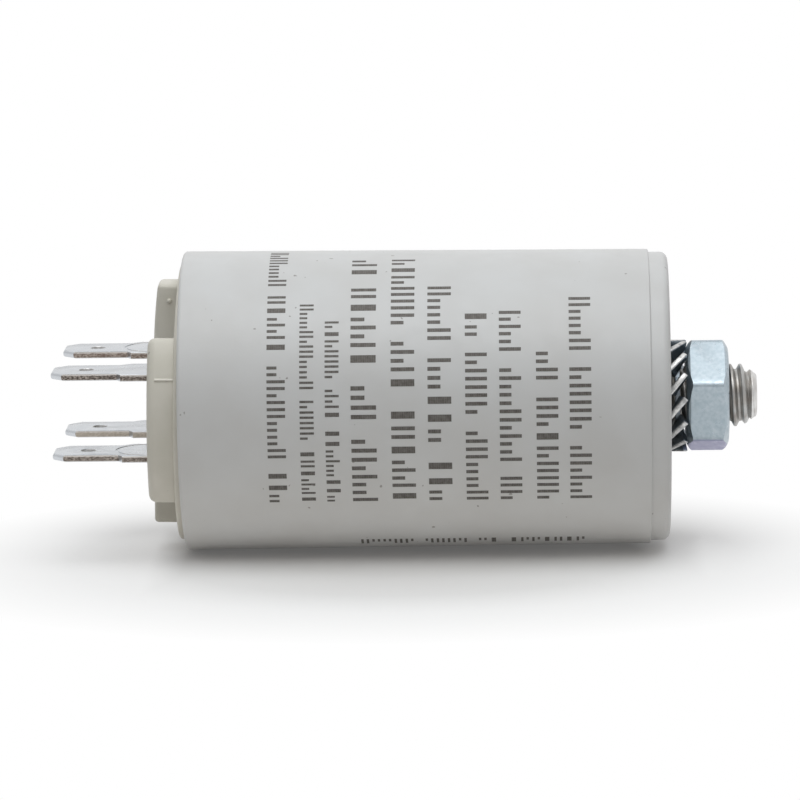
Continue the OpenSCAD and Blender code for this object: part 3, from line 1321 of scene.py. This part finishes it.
@dataclass
class MountingStud:
    """The threaded stud: a right-hand thread drawn in towards a plain nose, and a head in the base."""

    pitch: float = 1.25 * MM
    crest_r: float = 3.67 * MM
    root_r: float = 3.06 * MM
    crest_width: float = 0.3 * MM
    root_width: float = 0.3 * MM
    thread_round: float = 0.12 * MM
    thread_round_steps: int = 2
    thread_steps: int = 72
    top_crest_x: float = 8.5 * MM
    spare_turns: int = 2
    spare_below: float = MM
    spare_above: float = 0.5 * MM
    thread_sunk: float = 0.5 * MM
    thread_short: float = 0.06 * MM
    lead_length: float = 1.85 * MM
    tip_r: float = 2.5 * MM
    tip_round: float = 0.4 * MM
    bar_steps: int = 128
    nose_x: float = 9.3 * MM
    nose_rise: float = 0.4 * MM
    nose_r: float = 2.86 * MM
    nose_tip_r: float = 2.4 * MM
    nose_steps: int = 96
    head_t: float = 2.5 * MM
    head_round: float = 0.2 * MM
    head_steps: int = 64
    crisp_angle: float = math.radians(40)

    def __post_init__(self) -> None:
        """Takes the outer sizes from the frame."""
        low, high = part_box("mounting_stud")
        self.head_x: float = low.x
        self.head_r: float = high.z
        self.neck_x: float = low.x + self.head_t
        self.tip_x: float = high.x

    def thread_profile(self, crest_x: float) -> list[Vector]:
        """One turn of the thread's section, from crest to crest.

        Args:
            crest_x: where it starts.

        Returns:
            Points as (x, radius).
        """
        half_crest = self.crest_width / 2
        half_root = self.root_width / 2
        root_x = crest_x + self.pitch / 2
        end_x = crest_x + self.pitch
        corners = [
            (crest_x, self.crest_r, 0),
            (crest_x + half_crest, self.crest_r, self.thread_round),
            (root_x - half_root, self.root_r, self.thread_round),
            (root_x + half_root, self.root_r, self.thread_round),
            (end_x - half_crest, self.crest_r, self.thread_round),
            (end_x, self.crest_r, 0),
        ]
        return rounded(corners, self.thread_round_steps)

    def thread(self) -> Object:
        """Screws a length of thread from below the neck past the tip and draws it in along the lead-in.

        Returns:
            The thread, closed at both ends.
        """
        turns_back = math.ceil((self.top_crest_x - self.neck_x) / self.pitch) + self.spare_turns
        crest_x = self.top_crest_x - self.pitch * turns_back
        profile = self.thread_profile(crest_x)
        thread = Bench.path("threaded_stud", [Vector((p.x, 0, p.y)) for p in profile])
        Bench.clear()
        screw = thread.modifiers.new("screw", "SCREW")
        screw.axis = "X"
        screw.steps = self.thread_steps
        screw.render_steps = self.thread_steps
        screw.screw_offset = self.pitch
        screw.iterations = math.ceil((self.tip_x - crest_x) / self.pitch) + 1
        screw.use_merge_vertices = True
        screw.merge_threshold = WELD
        Bench.apply(thread, screw.name)
        Bench.edit(thread)
        for x, way in ((self.neck_x - self.spare_below, -1), (self.tip_x + self.spare_above, 1)):
            bpy.ops.mesh.select_all(action="SELECT")
            bpy.ops.mesh.remove_doubles(threshold=WELD)
            bpy.ops.mesh.bisect(
                plane_co=(x, 0, 0), plane_no=(way, 0, 0), use_fill=True, clear_outer=True, threshold=WELD
            )
        Bench.close()
        for vertex in thread.data.vertices:
            share = max(0, vertex.co.x - self.tip_x + self.lead_length) / self.lead_length
            narrow = 1 - share * (1 - self.tip_r / self.crest_r)
            vertex.co.y *= narrow
            vertex.co.z *= narrow
        return thread

    def envelope(self) -> Object:
        """Turns the bar that the thread is cut in, from inside the head to inside the nose.

        Returns:
            The bar.
        """
        bar_r = self.crest_r + self.crest_width
        start_x = self.neck_x - self.thread_sunk
        lead_x = self.tip_x - self.lead_length
        end_x = self.tip_x - self.thread_short
        corners = [
            (start_x, 0, 0), (start_x, bar_r, 0), (lead_x, bar_r, 0),
            (end_x, self.tip_r, self.tip_round), (end_x, 0, 0),
        ]
        return Bench.turned("envelope", corners, self.bar_steps)

    def nose(self) -> Object:
        """Turns the plain cone at the tip, in which the thread runs out.

        Returns:
            The cone.
        """
        corners = [
            (self.nose_x, 0, 0), (self.nose_x, self.tip_r, 0),
            (self.nose_x + self.nose_rise, self.nose_r, 0),
            (self.tip_x, self.nose_tip_r, self.tip_round), (self.tip_x, 0, 0),
        ]
        return Bench.turned("nose", corners, self.nose_steps)

    def head(self) -> Object:
        """Turns the round head that is moulded into the base.

        Returns:
            The head.
        """
        corners = [
            (self.head_x, 0, 0), (self.head_x, self.head_r, self.head_round),
            (self.neck_x, self.head_r, self.head_round), (self.neck_x, 0, 0),
        ]
        return Bench.turned("head", corners, self.head_steps)

    def build(self) -> Object:
        """Cuts the thread, joins nose and head and dresses the stud.

        Returns:
            The stud's piece.
        """
        piece = self.thread()
        Bench.combine(piece, self.envelope(), Boolean.KEEP_SHARED)
        Bench.combine(piece, self.nose(), Boolean.JOIN)
        Bench.combine(piece, self.head(), Boolean.JOIN)
        Bench.smooth(piece, self.crisp_angle)
        rolled = PlatedMetal(
            "dull_rolled_metal", (0.475, 0.475, 0.465), (0.37, 0.345, 0.32), (0.3, 0.44),
            patch_size=1.6 * MM, streak=(1, 8, 8),
        )
        turned = PlatedMetal(
            "turned_nose_metal", (0.76, 0.76, 0.75), (0.62, 0.6, 0.58), (0.32, 0.46),
            patch_size=1.6 * MM, streak=(1, 8, 8),
        )
        Bench.finish(piece, "stud_metal", ["mounting_stud"], [rolled.material(), turned.material()])
        for face in piece.data.polygons:
            face.material_index = int(face.center.x > self.nose_x + self.nose_rise)
        return piece


@dataclass
class LockWasher:
    """The toothed spring washer: a flat ring with teeth that widen and twist outwards."""

    bore_r: float = 4.2 * MM
    ring_r: float = 5.15 * MM
    ring_round_steps: int = 3
    ring_steps: int = 96
    thickness: float = 0.6 * MM
    teeth: int = 14
    tooth_rows: int = 6
    root_width: float = 2.1 * MM
    tip_width: float = 3.1 * MM
    tip_thickness: float = 0.72 * MM
    twist: float = math.radians(40)
    root_twist_share: float = 0.35
    twisted_by: float = 0.5
    front_tooth: float = math.radians(22)
    edge_round: float = 0.07 * MM
    edge_angle: float = math.radians(40)
    edge_segments: int = 2
    tip_round: float = 0.17 * MM
    tip_zone: float = 0.25 * MM
    nudge: float = 0.12 * MM
    bright_zone: float = 0.3 * MM
    bright_facing: float = 0.6
    crisp_angle: float = math.radians(30)

    def __post_init__(self) -> None:
        """Takes the outer sizes from the frame."""
        low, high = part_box("lock_washer")
        self.middle_x: float = (low.x + high.x) / 2 + self.nudge
        self.tip_r: float = high.z

    def ring(self) -> Object:
        """Turns the plain ring round the stud.

        Returns:
            The ring.
        """
        half = self.thickness / 2
        corners = [
            (-half, self.bore_r, self.edge_round), (-half, self.ring_r, self.edge_round),
            (half, self.ring_r, self.edge_round), (half, self.bore_r, self.edge_round),
        ]
        return Bench.turned("toothed_washer", corners, self.ring_steps, True, self.ring_round_steps)

    def at_tip(self, edge: BMEdge) -> bool:
        """Says whether an edge of the upright tooth lies at its tip."""
        return all(v.co.z > self.tip_r - self.tip_zone for v in edge.verts)

    def sharp(self, edge: BMEdge) -> bool:
        """Says whether an edge of the tooth is sharp."""
        return edge.calc_face_angle(0) > self.edge_angle

    def tooth(self) -> Object:
        """Extrudes one tooth that points up, row by row from the middle of the ring, and twists it.

        Returns:
            The tooth.
        """
        Bench.clear()
        root_r = (self.bore_r + self.ring_r) / 2
        bpy.ops.mesh.primitive_plane_add(size=1)
        tooth = Bench.added("tooth")
        bpy.ops.transform.resize(value=(self.thickness, self.root_width, 1))
        bpy.ops.transform.translate(value=(0, 0, root_r))
        rise = (self.tip_r - root_r) / self.tooth_rows
        widen = (self.tip_width / self.root_width) ** (1 / self.tooth_rows)
        thicken = (self.tip_thickness / self.thickness) ** (1 / self.tooth_rows)
        for _ in range(self.tooth_rows):
            bpy.ops.mesh.extrude_region_move(TRANSFORM_OT_translate={"value": (0, 0, rise)})
            bpy.ops.transform.resize(value=(thicken, widen, 1))
        Bench.close()
        for vertex in tooth.data.vertices:
            share = (vertex.co.z - root_r) / (self.tip_r - root_r)
            grown = (1 - self.root_twist_share) * min(1, share / self.twisted_by)
            turn = self.twist * (self.root_twist_share + grown)
            vertex.co.rotate(Matrix.Rotation(-turn, 3, "Z"))
            # The tip follows the washer's round outline
            vertex.co.z -= share * vertex.co.y**2 / 2 / self.tip_r
        Bench.bevel(tooth, self.tip_round, self.at_tip)
        Bench.bevel(tooth, self.edge_round, self.sharp, self.edge_segments)
        return tooth

    def is_bright(self, face: MeshPolygon) -> bool:
        """Tells the cut ends of the teeth from the other faces.

        Args:
            face: a face of the finished washer.

        Returns:
            Whether it is at the end of a tooth.
        """
        out = Vector((0, face.center.y, face.center.z))
        faces_out = face.normal.dot(out.normalized()) > self.bright_facing
        return faces_out and out.length > self.tip_r - self.bright_zone

    def build(self) -> Object:
        """Sets the teeth round the ring and dresses the washer.

        Returns:
            The washer's piece.
        """
        piece = self.ring()
        first = math.pi / 2 - self.front_tooth
        turns = [Matrix.Rotation(first + math.tau * k / self.teeth, 4, "X") for k in range(self.teeth)]
        Bench.combine(piece, Bench.copies(self.tooth(), turns, "teeth"), Boolean.JOIN)
        piece.data.transform(Matrix.Translation((self.middle_x, 0, 0)))
        Bench.smooth(piece, self.crisp_angle)
        dark = PlatedMetal(
            "dark_spring_steel", (0.17, 0.2, 0.23), (0.3, 0.33, 0.36), (0.26, 0.4),
            patch_size=0.8 * MM, metallic=0.8,
        )
        bright = PlatedMetal(
            "bright_cut_steel", (0.7, 0.7, 0.69), (0.38, 0.38, 0.38), (0.24, 0.38), patch_size=0.5 * MM
        )
        Bench.finish(piece, "spring_steel", ["lock_washer"], [dark.material(), bright.material()])
        for face in piece.data.polygons:
            face.material_index = int(self.is_bright(face))
        return piece


@dataclass
class HexNut:
    """The thin zinc-plated nut: a hexagon with softened rims, turned corners and a countersunk bore."""

    across_flats: float = 12 * MM
    front_corner: float = math.radians(20)
    corner_slack: float = math.radians(1)
    rim_round: float = 0.5 * MM
    rim_segments: int = 3
    corner_round: float = 0.45 * MM
    corner_segments: int = 5
    turned_depth: float = 0.82 * MM
    turned_slope: float = math.radians(30)
    turned_room: float = MM
    turned_steps: int = 128
    face_round: float = 1.2 * MM
    bore_r: float = 3.74 * MM
    countersink: float = 0.3 * MM
    crisp_angle: float = math.radians(18)

    def __post_init__(self) -> None:
        """Takes the outer sizes from the frame."""
        low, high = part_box("hex_nut")
        self.low_x: float = low.x
        self.high_x: float = high.x
        self.corner_r: float = self.across_flats / 2 / math.cos(math.pi / 6)

    def on_rim(self, edge: BMEdge) -> bool:
        """Says whether an edge bounds one of the nut's ends."""
        return abs(edge.verts[0].co.x - edge.verts[1].co.x) < WELD

    def at_corner(self, edge: BMEdge) -> bool:
        """Tells the six corners, which run from end to end, from the other edges.

        Args:
            edge: an edge of the bar.

        Returns:
            Whether it runs along a corner.
        """
        first, second = (math.atan2(v.co.z, -v.co.y) for v in edge.verts)
        off_corner = math.remainder(first - self.front_corner, math.pi / 3)
        apart = math.remainder(first - second, math.tau)
        return max(abs(off_corner), abs(apart)) < self.corner_slack

    def hexagon(self) -> Object:
        """Builds the six-sided bar, with softened rims and corners.

        Returns:
            The bar.
        """
        bar = Bench.solid(
            "plated_nut",
            bpy.ops.mesh.primitive_cylinder_add,
            vertices=6,
            radius=self.corner_r,
            depth=self.high_x - self.low_x,
            rotation=(0, math.pi / 2, 0),
        )
        middle = (self.low_x + self.high_x) / 2
        corner = bar.data.vertices[0].co
        turn = Matrix.Rotation(math.atan2(corner.z, -corner.y) - self.front_corner, 4, "X")
        bar.data.transform(Matrix.Translation((middle, 0, 0)) @ turn)
        Bench.bevel(bar, self.rim_round, self.on_rim, self.rim_segments)
        Bench.bevel(bar, self.corner_round, self.at_corner, self.corner_segments)
        return bar

    def blank(self) -> Object:
        """Turns the ring that takes down the nut's corners and cuts its bore.

        Returns:
            The ring.
        """
        wide = self.corner_r + self.turned_room
        rim = self.turned_depth + self.turned_room * math.tan(self.turned_slope)
        face_r = self.corner_r - self.turned_depth / math.tan(self.turned_slope)
        sink_r = self.bore_r + self.countersink
        corners = [
            (self.low_x, sink_r, 0), (self.low_x, face_r, self.face_round),
            (self.low_x + rim, wide, 0), (self.high_x - rim, wide, 0),
            (self.high_x, face_r, self.face_round), (self.high_x, sink_r, 0),
            (self.high_x - self.countersink, self.bore_r, 0),
            (self.low_x + self.countersink, self.bore_r, 0),
        ]
        return Bench.turned("blank", corners, self.turned_steps, closed=True)

    def build(self) -> Object:
        """Cuts the hexagon with the turned ring and dresses the nut.

        Returns:
            The nut's piece.
        """
        piece = self.hexagon()
        Bench.combine(piece, self.blank(), Boolean.KEEP_SHARED)
        Bench.smooth(piece, self.crisp_angle)
        Bench.finish(piece, "zinc_plated_steel", ["hex_nut"], [ZincPlate().material()])
        return piece


class Sign(Enum):
    """Groups of parallel bars, each bar as (low, high) shares of the height and of the width."""

    PAIR = (((0.0, 1.0), (0.0, 0.3)), ((0.0, 1.0), (0.66, 0.96)))
    THICK = (((0.0, 1.0), (0.2, 0.74)),)
    RISE = (((0.0, 0.55), (0.0, 0.3)), ((0.0, 1.0), (0.66, 0.96)))
    LOW = (((0.0, 0.55), (0.0, 0.3)), ((0.0, 0.55), (0.66, 0.96)))
    FALL = (((0.0, 1.0), (0.0, 0.3)), ((0.0, 0.55), (0.66, 0.96)))


@dataclass(frozen=True)
class MarkLine:
    """One row of signs: its place along the axis, its height and how many signs each group has."""

    x: float
    height: float
    groups: tuple[int, ...]


@dataclass
class LaserMarks:
    """Plain bars in rows, marked on the can by laser, with no lettering."""

    can: Can
    start: float = math.radians(-33)
    pitch_share: float = 0.76
    sign_share: float = 0.74
    group_space: float = 0.8
    proud: float = 0.015 * MM
    sunk: float = 0.06 * MM
    bar_rows: int = 4
    foot_angle: float = math.radians(-63)
    foot_line: MarkLine = MarkLine(-36 * MM, 1.7 * MM, (5, 4, 2, 7))
    lines: tuple[MarkLine, ...] = (
        MarkLine(-45.2 * MM, 2.1 * MM, (3, 7, 5, 6)),
        MarkLine(-41.7 * MM, 1.6 * MM, (6, 4, 9)),
        MarkLine(-38.8 * MM, 1.6 * MM, (8, 3, 6)),
        MarkLine(-35.2 * MM, 2.9 * MM, (4, 2, 5, 2)),
        MarkLine(-30.7 * MM, 2.7 * MM, (6, 3, 6)),
        MarkLine(-26.5 * MM, 2.7 * MM, (3, 5, 4)),
        MarkLine(-22.3 * MM, 2.5 * MM, (5, 4, 2)),
        MarkLine(-18.4 * MM, 2.5 * MM, (2, 6, 3)),
        MarkLine(-14.2 * MM, 2.5 * MM, (7, 2)),
        MarkLine(-10.4 * MM, 2.5 * MM, (4, 4, 4)),
    )

    def bar(self) -> Object:
        """Makes one flat bar of unit size, with rows of faces that can follow the can.

        Returns:
            The bar.
        """
        Bench.clear()
        bpy.ops.mesh.primitive_grid_add(x_subdivisions=1, y_subdivisions=self.bar_rows, size=1)
        bar = Bench.added("bar")
        bpy.ops.mesh.extrude_region_move(TRANSFORM_OT_translate={"value": (0, 0, 1)})
        Bench.close()
        return bar

    def bars(self, line: MarkLine) -> list[Box]:
        """Works out the bars of a row.

        Args:
            line: the row.

        Returns:
            For each bar its start and end along the row, and its low and high edge across it.
        """
        signs = list(Sign)
        found: list[Box] = []
        pitch = line.height * self.pitch_share
        width = pitch * self.sign_share
        reached = 0.0
        for group, length in enumerate(line.groups):
            for i in range(length):
                # A fixed mix, so that neighbouring groups differ
                sign = signs[(2 * i + 3 * group + length + i * i) % len(signs)]
                for (low, high), (start, end) in sign.value:
                    across = (low * line.height, high * line.height)
                    found.append((reached + start * width, reached + end * width, *across))
                reached += pitch
            reached += pitch * self.group_space
        return found

    def places(self) -> list[Matrix]:
        """Places the bars on the can's unrolled side: X along the axis, Y round it, Z outwards.

        Returns:
            One matrix for each bar.
        """
        boxes: list[Box] = []
        for line in self.lines:
            begin = self.start * self.can.radius_at(line.x)
            base = line.x - line.height / 2
            boxes += [(base + low, base + high, begin + a, begin + b) for a, b, low, high in self.bars(line)]
        foot = self.foot_line
        base = self.foot_angle * self.can.radius_at(foot.x) + foot.height / 2
        boxes += [(foot.x + a, foot.x + b, base - high, base - low) for a, b, low, high in self.bars(foot)]
        thick = self.sunk + self.proud
        return [
            Matrix.Translation(((x0 + x1) / 2, (y0 + y1) / 2, -self.sunk))
            @ Matrix.Diagonal((x1 - x0, y1 - y0, thick, 1))
            for x0, x1, y0, y1 in boxes
        ]

    def build(self) -> Object:
        """Sets the bars in rows, bends them on to the can and dresses them.

        Returns:
            The marks' piece.
        """
        piece = Bench.copies(self.bar(), self.places(), "laser_marks")
        for vertex in piece.data.vertices:
            x, around, out = vertex.co
            radius = self.can.radius_at(x)
            angle = around / radius
            vertex.co = (x, -(radius + out) * math.cos(angle), (radius + out) * math.sin(angle))
        Bench.finish(piece, "can_plastic", [], [LaserMark().material()])
        return piece


class Inside:
    """The solids inside the can, which keep their meshes and get their finishes."""

    FILM = HiddenStock("wound_film", (0.6, 0.62, 0.64), (0.52, 0.54, 0.56), 0.3, 0.6, 0.4 * MM, (20, 1, 1))
    CORE = HiddenStock("core_plastic", (0.3, 0.28, 0.24), (0.26, 0.24, 0.2), 0.5)
    SPRAY = HiddenStock("sprayed_zinc", (0.33, 0.35, 0.36), (0.24, 0.25, 0.26), 0.7, 0.7, 0.3 * MM)
    BOARD = HiddenStock("pressboard", (0.42, 0.3, 0.15), (0.34, 0.24, 0.12), 0.8, 0.0, 0.5 * MM)
    WIRE = HiddenStock("copper", (0.6, 0.35, 0.2), (0.5, 0.28, 0.16), 0.3, 1.0, 0.5 * MM, (8, 1, 1))
    SLEEVE = HiddenStock("sleeving", (0.8, 0.79, 0.72), (0.74, 0.73, 0.66), 0.5)
    SOLDER = HiddenStock("set_solder", (0.55, 0.56, 0.57), (0.45, 0.46, 0.47), 0.35, 1.0, 0.6 * MM)
    RESIN = HiddenStock("cast_resin", (0.18, 0.17, 0.13), (0.15, 0.14, 0.11), 0.4, 0.0, 2 * MM)
    NODES: dict[HiddenStock, tuple[str, ...]] = {
        FILM: ("winding",),
        CORE: ("core_tube",),
        SPRAY: ("end_spray_lid_side", "end_spray_base_side"),
        BOARD: ("insulating_disc",),
        WIRE: ("lead_upper", "lead_lower"),
        SLEEVE: ("lead_sleeve",),
        SOLDER: ("solder_joints",),
        RESIN: ("potting_resin",),
    }

    def dress(self) -> None:
        """Gives each hidden solid its material."""
        for stock, nodes in self.NODES.items():
            material = stock.material()
            for node in nodes:
                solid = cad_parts[node]
                solid.data.materials.clear()
                solid.data.materials.append(material)
                log.info("%s: dressed in %s", node, stock.name)


@dataclass
class Studio:
    """A white table top, white surroundings, soft light from above, and the camera."""

    image_px: int = 800
    focal_px: float = 5233.5
    sensor: float = 36.0
    clip_start: float = 10 * MM
    distance: float = 614.9 * MM
    target: Triple = (-31.47 * MM, 0, -0.19 * MM)
    elevation: float = math.radians(9.445)
    azimuth: float = math.radians(1.561)
    roll: float = math.radians(-0.853)
    sky_way: Triple = (0, 0.6, 0.8)
    sky_dim: float = 0.02
    sky_bright: float = 0.5
    sky_span: Span = (-0.7, 0.9)
    mirror_dim: float = 0.5
    glow: float = 2.2
    glow_elevation: float = math.radians(66)
    glow_span: Span = (0.86, 1)
    key_power: float = 3.07
    key_colour: Colour = (0.945, 0.98, 1)
    key_distance: float = 0.6
    key_elevation: float = math.radians(70)
    key_size: float = 0.7
    table_size: float = 6.0
    table_roughness: float = 0.9
    table_painted_shadow: Colour = (0.65, 0.635, 0.62)
    table_shown: Colour = (0.82, 0.81, 0.8)
    painted_shadow_span: Span = (0.2, 0.6)
    table_bounce: Colour = (0.93, 0.9, 0.86)
    table_far: Colour = (0.2, 0.195, 0.19)
    bounce_span: Span = (0.4, 1.6)
    table_painted_glow: float = 0.07
    white_span: Span = (0.38, 0.92)
    shadow_centre: tuple[float, float] = (-31 * MM, -8 * MM)
    shadow_reach: tuple[float, float] = (66 * MM, 52 * MM)
    beside_painted_light: float = 0.4
    beside_painted_light_span: Span = (-MM, 4 * MM)

    @staticmethod
    def overhead(elevation: float) -> Vector:
        """The direction from the object to a place above it, on the camera's side."""
        return Vector((0, -math.cos(elevation), math.sin(elevation)))

    def axes(self) -> tuple[Vector, Vector, Vector]:
        """Works out how the camera is turned.

        Returns:
            Its right, up and backward directions.
        """
        back = Matrix.Rotation(self.azimuth, 3, "Z") @ self.overhead(self.elevation)
        right = Vector((0, 0, 1)).cross(back).normalized()
        up = back.cross(right)
        turned_right = right * math.cos(self.roll) + up * math.sin(self.roll)
        turned_up = up * math.cos(self.roll) - right * math.sin(self.roll)
        return turned_right, turned_up, back

    def camera(self) -> None:
        """Adds the camera at the photograph's place."""
        data = bpy.data.cameras.new("camera")
        data.sensor_width = self.sensor
        data.lens = self.focal_px * self.sensor / self.image_px
        data.clip_start = self.clip_start
        camera = bpy.data.objects.new("camera", data)
        bpy.context.scene.collection.objects.link(camera)
        right, up, back = self.axes()
        pose = Matrix((right, up, back)).transposed().to_4x4()
        pose.translation = Vector(self.target) + back * self.distance
        camera.matrix_world = pose
        bpy.context.scene.camera = camera

    def world(self) -> None:
        """White surroundings that light the object more from above and behind than from the front."""
        world = bpy.data.worlds.new("surroundings")
        world.use_nodes = True
        board = NodeBoard(world.node_tree)
        background = board.nodes["Background"]
        background.inputs["Color"].default_value = (1, 1, 1, 1)
        way = board.coordinates.outputs["Generated"]
        skyward = board.along(way, self.sky_way)
        light = board.span(skyward, *self.sky_span, self.sky_dim, self.sky_bright)
        mirrored_sky = board.span(skyward, *self.sky_span, self.mirror_dim, 1)
        # The lamp is hidden from mirrors, so this glow stands in for it there
        glow_way = board.along(way, self.overhead(self.glow_elevation))
        glow = board.span(glow_way, *self.glow_span, 0, self.glow)
        mirrored = board.sum("ADD", mirrored_sky, glow)
        strength = board.pick(board.rays("Is Glossy Ray"), light, mirrored)
        strength = board.pick(board.rays("Is Camera Ray", "Is Transmission Ray"), strength, 1)
        board.links.new(strength, background.inputs["Strength"])
        bpy.context.scene.world = world

    def table_finish(self) -> Material:
        """Builds a white finish that keeps the shadow near the object and is plain white farther off; it
        adds painted shadow near the object, painted light beside the can's ends and a faint painted glow.

        Returns:
            The material.
        """
        board = MaterialBoard("table_white")
        shown = board.rays("Is Camera Ray", "Is Glossy Ray", "Is Transmission Ray")
        mapping = board.nodes.new("ShaderNodeMapping")
        offsets = [-c / r for c, r in zip(self.shadow_centre, self.shadow_reach)]
        mapping.inputs["Location"].default_value = (*offsets, 0)
        mapping.inputs["Scale"].default_value = (*[1 / r for r in self.shadow_reach], 0)
        board.links.new(board.place, mapping.inputs["Vector"])
        length = board.nodes.new("ShaderNodeVectorMath")
        length.operation = "LENGTH"
        board.links.new(mapping.outputs["Vector"], length.inputs[0])
        away = length.outputs["Value"]
        bounce = board.blend(board.span(away, *self.bounce_span), self.table_bounce, self.table_far)
        # Near the object the colour that the camera sees is darker: painted shadow on top of the real one
        shown_with_painted_shadow = board.blend(board.span(away, *self.painted_shadow_span), self.table_painted_shadow, self.table_shown)
        board.feed("Base Color", board.blend(shown, bounce, shown_with_painted_shadow))
        board.shader.inputs["Roughness"].default_value = self.table_roughness
        board.shader.inputs["Specular IOR Level"].default_value = 0
        # Beside the can's ends white light is painted over the table's shadow: painted light
        low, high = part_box("can")
        half = (high.x - low.x) / 2
        from_middle = board.sum("ABSOLUTE", board.sum("SUBTRACT", board.axis("X"), (low.x + high.x) / 2))
        start, end = (half + reach for reach in self.beside_painted_light_span)
        painted_light_beside = board.span(from_middle, start, end, 0, self.beside_painted_light)
        plain = board.sum("MAXIMUM", board.span(away, *self.white_span), painted_light_beside)
        # The top always glows a little, for every kind of ray: painted light that lifts its shadow and
        # lights the can from below
        share = board.sum("MAXIMUM", board.sum("MULTIPLY", plain, shown), self.table_painted_glow)
        white = board.nodes.new("ShaderNodeEmission")
        mix = board.nodes.new("ShaderNodeMixShader")
        for socket, source in zip(mix.inputs, (share, board.shader.outputs[0], white.outputs[0])):
            board.links.new(source, socket)
        board.links.new(mix.outputs[0], board.nodes["Material Output"].inputs["Surface"])
        return board.material

    def table(self) -> None:
        """Adds the table top under the can."""
        Bench.clear()
        bpy.ops.mesh.primitive_plane_add(size=self.table_size, location=(0, 0, cad_box[0].z))
        table = Bench.added("table_top")
        Bench.clear()
        table.data.materials.append(self.table_finish())

    def lamp(self) -> None:
        """Adds the large soft lamp above the object."""
        data = bpy.data.lights.new("soft_box", "AREA")
        data.shape = "DISK"
        data.size = self.key_size
        data.energy = self.key_power
        data.color = self.key_colour
        lamp = bpy.data.objects.new("soft_box", data)
        bpy.context.scene.collection.objects.link(lamp)
        way = self.overhead(self.key_elevation)
        lamp.visible_glossy = False
        lamp.location = Vector(self.target) + way * self.key_distance
        lamp.rotation_euler = way.to_track_quat("Z", "Y").to_euler()

    def build(self) -> None:
        """Sets up camera, surroundings, table and lamp."""
        self.camera()
        self.world()
        self.table()
        self.lamp()
        bpy.context.scene.view_settings.view_transform = "Standard"


def main() -> None:
    """Builds the studio and every piece of the capacitor, in order."""
    logging.basicConfig(level=logging.INFO, format="%(name)s: %(message)s")
    Studio().build()
    can = Can()
    can.build()
    Lid().build()
    for level in Level:
        TerminalStrip(level).build()
    MountingStud().build()
    LockWasher().build()
    HexNut().build()
    LaserMarks(can).build()
    Inside().dress()


if __name__ == "__main__":
    main()
